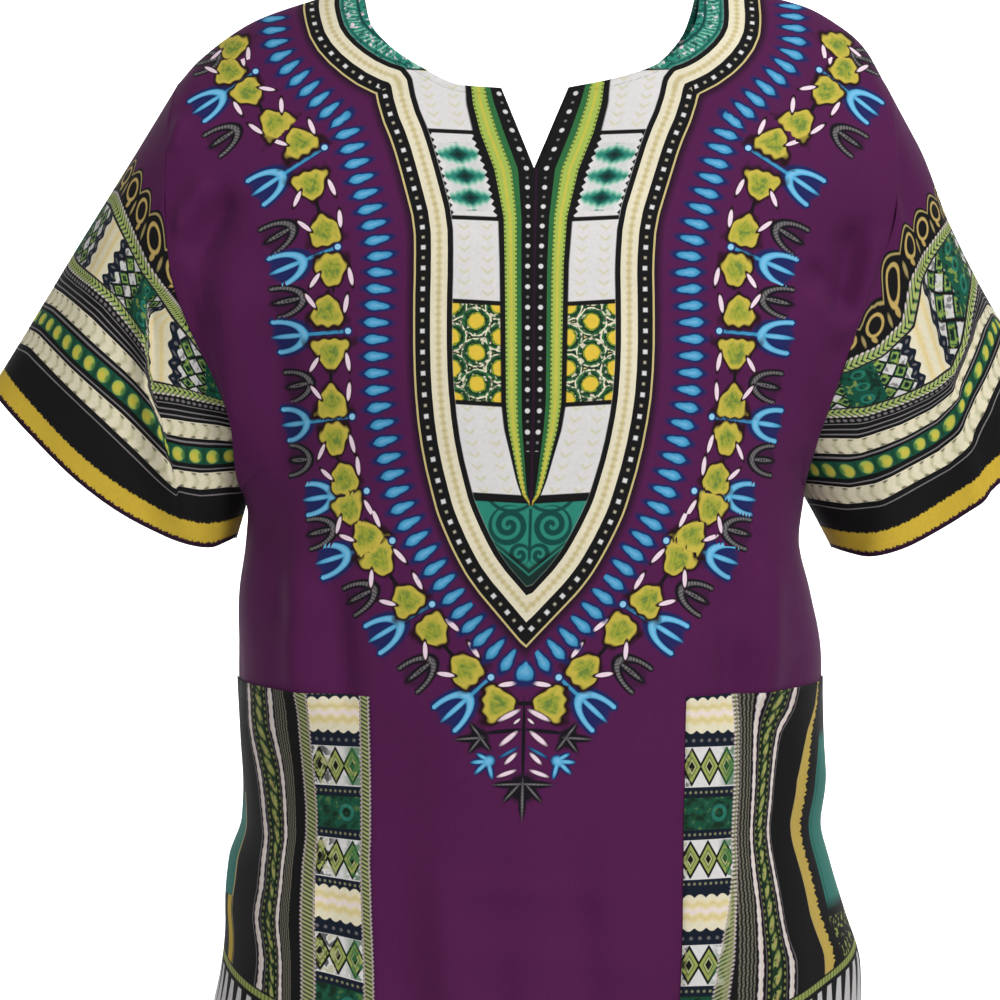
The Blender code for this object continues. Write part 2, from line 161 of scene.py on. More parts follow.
# The largest folds of the front, each a soft ridge or trough from one point to another.
FOLD_COLUMNS = ("start_x", "start_height", "end_x", "end_height", "half_width", "rise")
FRONT_FOLDS = (
    (-0.200, -0.140, -0.222, -0.245, 0.014, -0.0050),
    (-0.176, -0.180, -0.196, -0.300, 0.016, 0.0035),
    (0.222, -0.150, 0.204, -0.262, 0.014, -0.0045),
    (0.188, -0.210, 0.176, -0.320, 0.015, 0.0035),
    (-0.150, -0.560, -0.182, -0.760, 0.026, 0.0080),
    (-0.085, -0.600, -0.102, -0.775, 0.022, -0.0055),
    (-0.020, -0.640, -0.026, -0.778, 0.030, 0.0050),
    (0.060, -0.620, 0.074, -0.778, 0.024, -0.0060),
    (0.130, -0.560, 0.160, -0.765, 0.028, 0.0080),
    (0.110, -0.420, 0.168, -0.450, 0.014, 0.0025),
    (-0.120, -0.405, -0.172, -0.430, 0.014, 0.0025),
)
BACK_FOLDS = (
    (-0.195, -0.160, -0.186, -0.300, 0.018, 0.0045),
    (0.195, -0.170, 0.184, -0.310, 0.018, 0.0045),
    (-0.120, -0.300, -0.150, -0.420, 0.020, -0.0040),
    (0.115, -0.310, 0.146, -0.430, 0.020, -0.0040),
    (-0.145, -0.520, -0.180, -0.765, 0.028, 0.0080),
    (-0.070, -0.560, -0.080, -0.778, 0.026, -0.0060),
    (0.005, -0.480, 0.012, -0.778, 0.030, 0.0065),
    (0.085, -0.560, 0.096, -0.778, 0.026, -0.0060),
    (0.150, -0.540, 0.184, -0.765, 0.028, 0.0080),
)

# The largest folds of a sleeve, along its length. An angle of 0 is on top and 90 is in front.
SLEEVE_FOLD_COLUMNS = ("start_row", "start_angle", "end_row", "end_angle", "half_angle", "rise")
SLEEVE_FOLDS = {
    "right": (
        (0.15, 52, 1.35, 121, 13, -0.0055),
        (0.25, 84, 1.35, 152, 13, 0.0045),
        (0.10, 28, 1.20, 72, 14, 0.0030),
        (0.10, 300, 1.35, 250, 15, -0.0050),
        (0.20, 326, 1.35, 290, 14, 0.0040),
    ),
    "left": (
        (0.12, 46, 1.35, 112, 13, -0.0050),
        (0.20, 80, 1.35, 145, 13, 0.0045),
        (0.18, -10, 0.80, 12, 30, -0.0075),
        (0.10, 304, 1.35, 254, 15, -0.0050),
        (0.20, 330, 1.35, 284, 14, 0.0040),
    ),
}

# How far the inner edge of each pocket is from the middle, at its top and at its bottom.
POCKET_NAMES = ("inner_x_top", "inner_x_bottom")
POCKETS = {
    "right": (0.1010, 0.0975),
    "left": (0.0955, 0.0910),
}


# Smaller creases than the solids have, each a soft ridge or trough.
FINE_FRONT_FOLDS = (
    (-0.229, -0.093, -0.238, -0.116, 0.006, 0.0024),
    (-0.206, -0.135, -0.233, -0.172, 0.008, 0.0030),
    (-0.194, -0.141, -0.220, -0.190, 0.010, -0.0036),
    (-0.204, -0.165, -0.188, -0.345, 0.017, 0.0046),
    (-0.168, -0.215, -0.160, -0.330, 0.012, -0.0026),
    (-0.178, -0.330, -0.165, -0.430, 0.014, -0.0024),
    (0.208, -0.160, 0.206, -0.225, 0.012, -0.0036),
    (0.227, -0.168, 0.216, -0.240, 0.008, 0.0046),
    (0.176, -0.190, 0.204, -0.226, 0.008, -0.0030),
    (0.182, -0.207, 0.209, -0.243, 0.010, 0.0032),
    (0.205, -0.250, 0.197, -0.330, 0.010, 0.0018),
    (0.131, -0.375, 0.126, -0.480, 0.011, -0.0034),
    (0.153, -0.375, 0.150, -0.478, 0.012, 0.0034),
    (-0.152, -0.375, -0.149, -0.474, 0.011, 0.0034),
    (-0.128, -0.390, -0.120, -0.480, 0.010, -0.0030),
    (-0.060, -0.565, -0.052, -0.700, 0.012, 0.0020),
    (0.028, -0.545, 0.036, -0.720, 0.012, -0.0019),
    (-0.008, -0.610, -0.004, -0.760, 0.010, 0.0012),
    (-0.080, -0.590, 0.060, -0.598, 0.010, 0.0010),
    (-0.070, -0.632, 0.070, -0.641, 0.012, 0.0011),
)
FINE_BACK_FOLDS = (
    (-0.208, -0.130, -0.204, -0.260, 0.008, -0.0034),
    (0.210, -0.120, 0.203, -0.250, 0.008, -0.0036),
    (-0.060, -0.210, -0.120, -0.330, 0.011, -0.0026),
    (0.052, -0.220, 0.118, -0.320, 0.010, -0.0024),
    (-0.140, -0.360, -0.132, -0.470, 0.012, 0.0022),
    (0.136, -0.350, 0.142, -0.480, 0.012, 0.0020),
    (-0.030, -0.420, -0.036, -0.640, 0.014, 0.0026),
    (0.050, -0.450, 0.058, -0.690, 0.013, -0.0022),
)

# The print, in millimetres on the cloth: out from its middle line, and down from the top of the shoulder.
DRIFT_COLUMNS = ("down", "middle")
DRIFT = ((64, 0.7), (119, 4.2), (194, 3.0), (257, 1.4), (347, 0.8), (404, -0.8), (465, -2.5), (496, -4.2), (610, -6.6))
PLASTRON_COLUMNS = ("out", "down")
PLASTRON = (
    (129.5, 25), (129.2, 58), (127.9, 73), (124.8, 87), (115, 100.5), (100.4, 112.4), (83.4, 119), (78.4, 144.5),
    (69.7, 166), (61.7, 194), (53, 225.7), (51.6, 256.7), (52.2, 284), (51.9, 318), (49.8, 348), (45, 377),
    (37.4, 404.2), (34.6, 412), (25.9, 430.4), (16.4, 446.7), (0, 465),
)
DROP_LINE = (
    (176, 40), (173.9, 85.4), (170.6, 103.3), (162.4, 116.7), (148.9, 132.3), (130.8, 154), (125.6, 157.6),
    (119.3, 175.5), (112.2, 200.2), (105.1, 223.2), (99.4, 247.2), (98.2, 258), (100.4, 283), (101.6, 297.6),
    (101, 339.3), (96.3, 363), (91.1, 384.7), (84.5, 407.8), (75.5, 427), (64.6, 444.1), (49.8, 465.9),
    (34, 488.3), (14.9, 507.5), (0, 515.2),
)
LEAVES = (
    (203.1, 96.8), (205.7, 114.7), (190.4, 133.7), (171.8, 155.9), (154.7, 170.7), (144.7, 202.8), (136.4, 232.8),
    (130.2, 260.3), (133.3, 286.1), (132.8, 315.8), (131.9, 344.7), (129.9, 370.4), (123.2, 394.7), (117.4, 414.7),
    (106.5, 431.1), (95.1, 447.4), (77.3, 471.1), (59.1, 492.5), (38.2, 515.2), (15.2, 537.2),
)
# The fold on the front of the right sleeve: millimetres across and up.
SLEEVE_FOLD = ((-252, -216), (-251, -246), (-250, -276), (-242, -301), (-234, -334), (-228, -368))
# Where the print's levels run on the front of each sleeve as worn: the level, then points across and up.
OUTER_LEVELS = (
    (42.0, (-331.0, -243.8), (-311.3, -262.1), (-276.0, -294.0), (-240.0, -328.0)),
    (58.5, (-322.0, -231.1), (-299.0, -252.0), (-262.0, -282.0), (-240.0, -303.0)),
    (74.75, (-314.5, -215.5), (-294.0, -231.5), (-263.0, -260.0), (-244.0, -279.0)),
    (104.0, (-302.6, -194.5), (-276.0, -215.0), (-252.3, -244.5)),
    (152.0, (-276.2, -152.5), (-254.3, -196.3), (-225.0, -235.0)),
)
INNER_LEVELS = (
    (42.0, (-232.0, -336.0), (-217.5, -337.5), (-202.0, -335.0), (-185.0, -333.5)),
    (58.5, (-240.0, -317.0), (-230.5, -320.0), (-212.0, -321.0), (-186.5, -317.5)),
    (74.75, (-245.0, -300.5), (-225.0, -302.5), (-207.0, -303.5), (-190.5, -306.5)),
    (104.0, (-249.8, -274.3), (-230.5, -277.0), (-203.0, -283.5)),
    (152.0, (-254.3, -196.3), (-225.0, -235.0), (-208.5, -259.0)),
)
LEFT_LEVELS = (
    (42.0, (182.2, -341.8), (210.5, -345.6), (228.7, -343.8), (250.6, -332.0), (272.6, -321.0), (287.2, -306.4), (298.0, -282.5), (308.5, -264.0)),
    (58.5, (180.3, -328.0), (210.5, -329.0), (232.4, -322.7), (254.2, -311.7), (272.6, -300.8), (285.3, -282.5), (296.3, -262.5), (308.5, -237.0)),
    (74.75, (190.4, -311.7), (216.0, -312.6), (243.3, -302.6), (265.3, -291.6), (279.9, -278.9), (289.0, -253.3), (298.0, -231.4), (308.5, -220.4)),
    (104.0, (197.7, -290.7), (219.6, -289.8), (239.7, -283.4), (265.3, -273.4), (281.7, -262.4), (289.0, -244.2), (292.7, -220.4), (298.0, -198.5)),
    (152.0, (206.8, -260.6), (228.7, -251.5), (247.0, -233.2), (251.6, -205.8), (263.4, -185.7), (276.2, -171.1)),
)
# The leaf that each leaf's stem joins, counted from 0, with the last joined to its twin.
LEAF_PARTNERS = (1, 0, 3, 2, 3, 6, 5, 8, 7, 10, 9, 12, 11, 14, 13, 16, 15, 18, 17, 20)
# The forked sprigs outside the leaves: head, root, and 1 for a blue one or 0 for a black one.
SPRIG_COLUMNS = ("head_out", "head_down", "root_out", "root_down", "blue")
SPRIGS = (
    (221, 105, 186, 101, 0), (216.2, 139.8, 186.6, 116.9, 1), (204, 166.6, 166, 138, 0), (172.9, 200.5, 137.3, 176.1, 1),
    (164.6, 235.3, 128, 214, 0), (158, 257.1, 126.5, 244.5, 1), (158.2, 279.4, 120, 272, 0), (159.2, 302.8, 120, 300, 1),
    (156.5, 334.8, 120, 329, 0), (161.4, 359.8, 117.4, 355.6, 1), (159.5, 383, 113, 381, 0), (140.8, 407.3, 106.2, 402.9, 1),
    (138.1, 428.9, 97, 420, 0), (127.4, 445.9, 87.7, 434.4, 1), (107.2, 469.3, 75, 453, 0), (89.4, 492, 60.7, 474.6, 1),
    (66.5, 516.8, 42, 497, 0), (42.5, 540.1, 21.4, 520.7, 1),
)
SLIT_COLUMNS = ("down", "edge", "border")
SLIT = (
    (112, 28, 49), (133.3, 21.3, 47), (144.8, 17.4, 46.3), (166.2, 9.5, 41.5), (192.4, 0, 32), (226, 0, 23.9),
    (257, 0, 22.2), (347.4, 0, 20.6), (364, 0, 18.3), (380.6, 0, 13.8), (394.8, 0, 10.1), (405, 0, 6.6), (412, 0, 0),
)
PANEL_LINES = (120, 166, 227, 283, 348.5, 407)
# How far in the outer lines of each pocket run at each height down.
POCKET_DRIFT = {
    "right": ((533, 0), (556, 5), (580, 13.5), (606, 21), (630, 27), (662, 29.5), (682, 26), (708, 31)),
    "left": ((531, -2.5), (545, 4), (560, 17), (592, 33), (619, 36), (648, 31), (680, 24), (705, 13)),
}

COLOURS = {
    "purple": (0.080, 0.0095, 0.066),
    "halo": (0.022, 0.005, 0.020),
    "black": (0.0060, 0.0058, 0.0064),
    "cream": (0.74, 0.68, 0.505),
    "white": (0.685, 0.665, 0.660),
    "tan": (0.56, 0.46, 0.20),
    "ring_tan": (0.56, 0.40, 0.13),
    "dull_tan": (0.42, 0.33, 0.13),
    "dash_tan": (0.46, 0.44, 0.24),
    "olive_tick": (0.60, 0.57, 0.33),
    "teal": (0.024, 0.225, 0.165),
    "dull_teal": (0.024, 0.165, 0.135),
    "dark_teal": (0.005, 0.060, 0.052),
    "mint": (0.36, 0.66, 0.50),
    "lime": (0.36, 0.47, 0.085),
    "olive_leaf": (0.31, 0.36, 0.095),
    "green": (0.028, 0.145, 0.045),
    "dark_green": (0.009, 0.045, 0.018),
    "deep_green": (0.008, 0.082, 0.048),
    "yellow": (0.72, 0.50, 0.052),
    "gold": (0.58, 0.40, 0.040),
    "leaf_rim": (0.55, 0.44, 0.065),
    "leaf_middle": (0.22, 0.30, 0.030),
    "maroon": (0.016, 0.004, 0.006),
    "pink_white": (0.84, 0.66, 0.76),
    "sky": (0.085, 0.40, 0.66),
    "drop_blue": (0.052, 0.300, 0.53),
    "pale_blue": (0.28, 0.58, 0.80),
    "navy": (0.008, 0.018, 0.105),
    "navy_black": (0.006, 0.011, 0.022),
    "grey": (0.20, 0.185, 0.19),
    "sprig_black": (0.0065, 0.0050, 0.0090),
}


def column(table, names, name):
    """One named column of a table."""
    return np.array([row[names.index(name)] for row in table])


def curve(places, values, at):
    """A smooth curve through the values that never overshoots them."""
    places = np.asarray(places, float)
    values = np.asarray(values, float)
    if places[0] > places[-1]:
        places = places[::-1]
        values = values[::-1]
    steps = np.diff(places)
    rises = np.diff(values) / steps
    slopes = np.zeros(len(places))
    slopes[0] = rises[0]
    slopes[-1] = rises[-1]
    before = rises[:-1]
    after = rises[1:]
    same = before * after > 0
    mean = 2 * before * after / np.where(same, before + after, 1.0)
    slopes[1:-1] = np.where(same, mean, 0.0)
    at = np.clip(at, places[0], places[-1])
    k = np.clip(np.searchsorted(places, at) - 1, 0, len(steps) - 1)
    h = steps[k]
    t = (at - places[k]) / h
    start = (1 + 2 * t) * (1 - t) ** 2 * values[k] + t * (1 - t) ** 2 * h * slopes[k]
    end = t * t * (3 - 2 * t) * values[k + 1] + t * t * (t - 1) * h * slopes[k + 1]
    return start + end


def edge_point(q, side, front):
    """A point of the panel's side edge. q runs from 0 at the shoulder tip, over 1 at the underarm, to 2 at the hem."""
    q = np.asarray(q, float)
    turn = np.clip(q, 0, 1) * math.pi
    fall = np.clip(q - 1, 0, 1)
    height = SHOULDER_TIP_HEIGHT + (UNDERARM_HEIGHT - SHOULDER_TIP_HEIGHT) * (1 - np.cos(turn)) / 2
    height = height + (HEM_HEIGHT - UNDERARM_HEIGHT) * fall
    name = "left_reach" if side > 0 else "right_reach"
    x = side * curve(column(EDGE, EDGE_COLUMNS, "height"), column(EDGE, EDGE_COLUMNS, name), height)
    reach = -ARMHOLE_FRONT_REACH if front else ARMHOLE_BACK_REACH
    return x, reach * np.sin(turn), height


def base_point(u, q, front):
    """A point of a smooth panel. u runs from -1 at the wearer's right edge to 1 at the left one."""
    u = np.asarray(u, float)
    q = np.asarray(q, float)
    u, q = np.broadcast_arrays(u, q)
    right = edge_point(q, -1, front)
    left = edge_point(q, 1, front)
    edge = [np.where(u < 0, a, b) for a, b in zip(right, left)]
    share = np.clip(q, 0, 1)
    fall = np.clip(q - 1, 0, 1)
    middle = SHOULDER_RIDGE_RISE + (UNDERARM_CENTRE_HEIGHT - SHOULDER_RIDGE_RISE) * share
    level = np.clip(fall / LEVEL_SHARE, 0, 1)
    level = level * level * (3 - 2 * level)
    middle = middle + (HEM_HEIGHT - UNDERARM_HEIGHT) * fall - (UNDERARM_CENTRE_HEIGHT - UNDERARM_HEIGHT) * level
    name = "front_depth" if front else "back_depth"
    depth = curve(column(PROFILE, PROFILE_COLUMNS, "height"), column(PROFILE, PROFILE_COLUMNS, name), middle)
    depth = -depth if front else depth
    most = (ARMHOLE_TURN + (1 - ARMHOLE_TURN) * share**1.5) * math.pi / 2
    turn = np.abs(u) * most
    plump = BODY_SQUARENESS * np.sin(math.pi * np.abs(u)) * share
    across = np.sin(turn) / np.sin(most) + plump * np.cos(turn)
    along = (np.cos(turn) - np.cos(most)) / (1 - np.cos(most)) + plump * np.sin(turn)
    x = edge[0] * across
    y = edge[1] + (depth - edge[1]) * along
    places = column(RIDGE, RIDGE_COLUMNS, "reach")
    right_ridge = curve(places, column(RIDGE, RIDGE_COLUMNS, "right_height"), np.minimum(across, 1))
    left_ridge = curve(places, column(RIDGE, RIDGE_COLUMNS, "left_height"), np.minimum(across, 1))
    z = edge[2] + (middle - edge[2]) * np.where(u < 0, right_ridge, left_ridge)
    return np.stack([x, y, z], axis=-1)


def unit(vectors):
    return vectors / np.maximum(np.linalg.norm(vectors, axis=-1, keepdims=True), 1e-12)


def surface_normal(surface, u, q, front):
    """The way out from a surface at a point of it."""
    step = 1e-3
    across = surface(np.minimum(u + step, 1), q, front) - surface(np.maximum(u - step, -1), q, front)
    down = surface(u, np.minimum(q + step, 2), front) - surface(u, np.maximum(q - step, 0), front)
    normal = unit(np.cross(down, across))
    return normal if front else -normal


def fold_rise(x, z, folds):
    """How far the folds lift the cloth at a point seen from the front."""
    rise = np.zeros(np.shape(x))
    for fold in folds:
        start_x, start_z, end_x, end_z, half_width, height = fold
        length = math.hypot(end_x - start_x, end_z - start_z)
        dx = (end_x - start_x) / length
        dz = (end_z - start_z) / length
        along = (x - start_x) * dx + (z - start_z) * dz
        aside = (x - start_x) * dz - (z - start_z) * dx
        ends = np.clip(along / (0.35 * length), 0, 1) * np.clip((length * 1.15 - along) / (0.3 * length), 0, 1)
        ends = ends * ends * (3 - 2 * ends)
        rise = rise + height * ends * np.exp(-((aside / half_width) ** 2))
    return rise


def panel_point(u, q, front):
    """A point of the panel with its folds."""
    u, q = np.broadcast_arrays(np.asarray(u, float), np.asarray(q, float))
    point = base_point(u, q, front)
    rise = fold_rise(point[..., 0], point[..., 2], FRONT_FOLDS if front else BACK_FOLDS)
    calm = np.clip((1 - np.abs(u)) / 0.12, 0, 1)
    return point + surface_normal(base_point, u, q, front) * (rise * calm)[..., None]


def sleeve_hem_point(angle, side):
    name = "left" if side > 0 else "right"
    outer_x, outer_z, inner_x, inner_z, hang, hang_in = SLEEVES[name]
    turn = np.radians(angle)
    across = np.cos(turn)
    x = (outer_x + inner_x) / 2 + across * (outer_x - inner_x) / 2 - side * hang_in * np.sin(turn) ** 2
    y = -SLEEVE_HALF_DEPTH * np.sin(turn)
    low = np.where(np.sin(turn) > 0, hang, hang - 0.006)
    z = (outer_z + inner_z) / 2 + across * (outer_z - inner_z) / 2 - low * np.sin(turn) ** 2
    return np.stack([x, y, z], axis=-1)


def armhole_point(angle, side):
    angle = np.mod(angle, 360)
    front = edge_point(angle / 180, side, True)
    back = edge_point((360 - angle) / 180, side, False)
    return np.stack([np.where(angle <= 180, a, b) for a, b in zip(front, back)], axis=-1)


def sleeve_base(row, angle, side):
    row, angle = np.broadcast_arrays(np.asarray(row, float), np.asarray(angle, float))
    start = armhole_point(angle, side)
    end = sleeve_hem_point(angle, side)
    return start + (end - start) * row[..., None]


def sleeve_point(row, angle, side):
    """A point of a sleeve. row runs from 0 at the armhole to 1 at the hem."""
    row, angle = np.broadcast_arrays(np.asarray(row, float), np.asarray(angle, float))
    point = sleeve_base(row, angle, side)
    around = sleeve_base(row, angle + 1, side) - sleeve_base(row, angle - 1, side)
    down = sleeve_base(row + 0.01, angle, side) - sleeve_base(row - 0.01, angle, side)
    normal = unit(np.cross(around, down)) * side
    rise = np.zeros(row.shape)
    for fold in SLEEVE_FOLDS["left" if side > 0 else "right"]:
        start_row, start_angle, end_row, end_angle, half_angle, height = fold
        share = (row - start_row) / (end_row - start_row)
        middle = start_angle + (end_angle - start_angle) * share
        aside = (angle - middle + 180) % 360 - 180
        ends = np.clip(share / 0.35, 0, 1) * np.clip((1.15 - share) / 0.35, 0, 1)
        ends = ends * ends * (3 - 2 * ends)
        rise = rise + height * ends * np.exp(-((aside / half_angle) ** 2))
    return point + normal * rise[..., None]


def smooth_line(points, rounds=3):
    """A line with its corners cut, and with both ends kept."""
    points = np.asarray(points, float)
    for _ in range(rounds):
        near = points[:-1] * 0.75 + points[1:] * 0.25
        far = points[:-1] * 0.25 + points[1:] * 0.75
        points = np.concatenate([points[:1], np.stack([near, far], axis=1).reshape(-1, 2), points[-1:]])
    return points


def beside_line(out, down, line):
    """For each place, how far along the line its nearest point is, and how far outside the line it lies."""
    nearest = np.full(out.shape, 1e9)
    along = np.zeros(out.shape)
    outside = np.zeros(out.shape)
    run = 0.0
    for start, end in zip(line[:-1], line[1:]):
        step = end - start
        length = float(np.hypot(*step))
        if length < 1e-6:
            continue
        way = step / length
        a = (out - start[0]) * way[0] + (down - start[1]) * way[1]
        b = (out - start[0]) * way[1] - (down - start[1]) * way[0]
        held = np.clip(a, 0, length)
        distance = np.hypot(a - held, b)
        closer = distance < nearest
        nearest = np.where(closer, distance, nearest)
        along = np.where(closer, run + held, along)
        outside = np.where(closer, np.where(b < 0, -distance, distance), outside)
        run += length
    return along, outside


def inside_outline(out, down, outline):
    inside = np.zeros(out.shape, bool)
    for start, end in zip(outline, np.roll(outline, -1, axis=0)):
        crosses = (start[1] > down) != (end[1] > down)
        rise = end[1] - start[1]
        reach = start[0] + (down - start[1]) * (end[0] - start[0]) / (rise if abs(rise) > 1e-9 else 1e-9)
        inside ^= crosses & (out < reach)
    return inside


def profile_length(height):
    """Millimetres of cloth from the top of the shoulder down to a height, along the middle of the front."""
    heights = np.linspace(SHOULDER_RIDGE_RISE, HEM_HEIGHT, 2000)
    depths = curve(column(PROFILE, PROFILE_COLUMNS, "height"), column(PROFILE, PROFILE_COLUMNS, "front_depth"), heights)
    steps = np.hypot(np.diff(heights), np.diff(depths))
    lengths = np.concatenate([[0], np.cumsum(steps)]) * 1000
    return np.interp(-np.asarray(height), -heights, lengths)


def fine_fold_rise(point, front):
    return fold_rise(point[..., 0], point[..., 2], FINE_FRONT_FOLDS if front else FINE_BACK_FOLDS)


def ripple(point, u, q, front):
    """Faint pulls across the cloth and small waves beside the armholes and above the hem."""
    x = point[..., 0]
    z = point[..., 2]
    calm = np.clip((1 - np.abs(u)) / 0.10, 0, 1)
    low = np.clip((-0.42 - z) / 0.25, 0, 1)
    waves = np.sin(x * 118 + 1.7 * np.sin(z * 9)) * np.sin(z * 7 + x * 4) * 0.0011 * low
    sides = np.clip((np.abs(u) - 0.60) / 0.3, 0, 1)
    waves = waves + np.sin(z * 62 + x * 21) * 0.0007 * sides
    waves = waves + np.sin(x * 31 - z * 43 + (0.5 if front else 2.0)) * np.sin(x * 17 + z * 23) * 0.0006
    return waves * calm


def worn_panel(u, q, front):
    """A point of a panel with its large and small folds."""
    u, q = np.broadcast_arrays(np.asarray(u, float), np.asarray(q, float))
    point = panel_point(u, q, front)
    calm = np.clip((1 - np.abs(u)) / 0.08, 0, 1)
    rise = fine_fold_rise(point, front) * calm * 1.9 + ripple(point, u, q, front) * 1.6
    return point + surface_normal(base_point, u, q, front) * rise[..., None]


def panel_spots(u, q, front):
    """Millimetres across from the print's middle line and down from the shoulder, for points of a panel."""
    places = np.linspace(-1, 1, 241)
    rows = np.linspace(0, 2, 321)
    grid = base_point(places[None, :], rows[:, None], front)
    steps = np.hypot(np.diff(grid[..., 0], axis=1), np.diff(grid[..., 1], axis=1)) * 1000
    across = np.concatenate([np.zeros((len(rows), 1)), np.cumsum(steps, axis=1)], axis=1)
    across = across - across[:, 120:121]
    column_at = np.clip((u + 1) / 2 * 240, 0, 239.999)
    row_at = np.clip(q / 2 * 320, 0, 319.999)
    c = column_at.astype(int)
    r = row_at.astype(int)
    fc = column_at - c
    fr = row_at - r
    upper = across[r, c] * (1 - fc) + across[r, c + 1] * fc
    lower = across[r + 1, c] * (1 - fc) + across[r + 1, c + 1] * fc
    s = upper * (1 - fr) + lower * fr
    v = profile_length(base_point(u, q, front)[..., 2])
    middle = np.interp(v, column(DRIFT, DRIFT_COLUMNS, "down"), column(DRIFT, DRIFT_COLUMNS, "middle"))
    return s - middle, v


def find_places(x, z, front):
    """The u and q of the panel's points that stand at x and z, seen from the front."""
    us = np.linspace(-0.75, 0.75, 151)
    qs = np.linspace(0, 0.9, 181)
    grid = worn_panel(us[None, :], qs[:, None], front)
    u = np.empty(len(x))
    q = np.empty(len(x))
    for k in range(len(x)):
        miss = (grid[..., 0] - x[k]) ** 2 + (grid[..., 2] - z[k]) ** 2
        r, c = np.unravel_index(np.argmin(miss), miss.shape)
        u[k] = us[c]
        q[k] = qs[r]
    reach_u = 0.010
    reach_q = 0.005
    offsets = np.linspace(-1, 1, 7)
    du, dq = np.meshgrid(offsets, offsets)
    for _ in range(7):
        tried_u = u[:, None] + du.reshape(1, -1) * reach_u
        tried_q = np.clip(q[:, None] + dq.reshape(1, -1) * reach_q, 0, 2)
        found = worn_panel(tried_u, tried_q, front)
        miss = (found[..., 0] - x[:, None]) ** 2 + (found[..., 2] - z[:, None]) ** 2
        best = np.argmin(miss, axis=1)
        u = tried_u[np.arange(len(x)), best]
        q = tried_q[np.arange(len(x)), best]
        reach_u *= 0.45
        reach_q *= 0.45
    return u, q


def neck_edge(front):
    """The neck's cut edge seen from the front, from the right shoulder round to the left one."""
    if front:
        places = np.linspace(0, 1, len(NECK))
        share = np.linspace(0, 1, 80)
        right = [(x, z) for x, z in zip(curve(places, column(NECK, NECK_COLUMNS, "right_x"), share), curve(places, column(NECK, NECK_COLUMNS, "right_height"), share))]
        left = [(x, z) for x, z in zip(curve(places, column(NECK, NECK_COLUMNS, "left_x"), share), curve(places, column(NECK, NECK_COLUMNS, "left_height"), share))]
        end = (0.0015, SLIT_END_HEIGHT)
    else:
        places = np.linspace(0, 1, len(BACK_NECK))
        share = np.linspace(0, 1, 80)
        x = curve(places, column(BACK_NECK, BACK_NECK_COLUMNS, "x"), share)
        z = curve(places, column(BACK_NECK, BACK_NECK_COLUMNS, "height"), share)
        right = list(zip(-x, z))
        left = list(zip(x, z))
        end = (0.0, BACK_SLIT_END_HEIGHT)
    slit_right = [(right[-1][0] + (end[0] - right[-1][0]) * k / 24, right[-1][1] + (end[1] - right[-1][1]) * k / 24) for k in range(1, 24)]
    slit_left = [(end[0] + (left[-1][0] - end[0]) * k / 24, end[1] + (left[-1][1] - end[1]) * k / 24) for k in range(1, 24)]
    return np.array(right + slit_right + [end] + slit_left + left[::-1])


def panel_net(front):
    """The u and q of a panel's points, and its triangles, with the neck cut out."""
    edge = neck_edge(front)
    u_edge, q_edge = find_places(edge[:, 0], edge[:, 1], front)
    u_edge = np.concatenate([u_edge[:1], u_edge, u_edge[-1:]])
    q_edge = np.concatenate([[0.0], q_edge, [0.0]])
    scale = np.array([310.0, 390.0])
    upper = np.linspace(0, 1, ARMHOLE_ROWS + 1)
    upper = 0.25 * upper * upper + 0.75 * upper
    rows = np.concatenate([upper, 1 + np.linspace(0, 1, LOWER_ROWS + 1)[1:]])
    us = np.linspace(-1, 1, COLUMNS + 1)
    uu, qq = np.meshgrid(us, rows)
    grid = np.stack([uu.ravel(), qq.ravel()], axis=1)
    cut = np.stack([u_edge, q_edge], axis=1)
    near = np.zeros(len(grid), bool)
    inside = inside_outline(grid[:, 0], grid[:, 1], cut)
    for point in cut:
        away = (grid - point) * scale
        near |= (away**2).sum(axis=1) < 1.5**2
    keep = ~near & ~inside
    points = np.concatenate([cut, grid[keep]])
    links = [(k, k + 1) for k in range(len(cut) - 1)]
    made = delaunay_2d_cdt([Vector(p) for p in points * scale], links, [], 0, 1e-5, False)
    places = np.array([tuple(p) for p in made[0]]) / scale
    faces = np.array([tuple(f) for f in made[2]])
    centres = places[faces].mean(axis=1)
    outside = ~inside_outline(centres[:, 0], centres[:, 1], cut)
    size = np.abs(np.cross(places[faces[:, 1]] - places[faces[:, 0]], places[faces[:, 2]] - places[faces[:, 0]]))
    faces = faces[outside & (size > 1e-9)]
    used = np.unique(faces)
    renumber = np.zeros(len(places), int)
    renumber[used] = np.arange(len(used))
    return places[used, 0], places[used, 1], renumber[faces], cut


def put_values(mesh, name, values):
    """A named set of three numbers for each point of a mesh."""
    made = mesh.attributes.new(name, "FLOAT_VECTOR", "POINT")
    made.data.foreach_set("vector", np.asarray(values, np.float32).ravel())


def put_corner_values(mesh, name, values):
    made = mesh.attributes.new(name, "FLOAT_VECTOR", "CORNER")
    made.data.foreach_set("vector", np.asarray(values, np.float32).ravel())


def shell(name, points, faces, thickness=CLOTH):
    mesh = bpy.data.meshes.new(name)
    mesh.from_pydata([tuple(map(float, p)) for p in points], [], [tuple(map(int, f)) for f in faces])
    mesh.shade_smooth()
    made = bpy.data.objects.new(name, mesh)
    bpy.context.scene.collection.objects.link(made)
    wall = made.modifiers.new("cloth", "SOLIDIFY")
    wall.thickness = thickness
    wall.offset = -1
    wall.use_even_offset = False
    return made


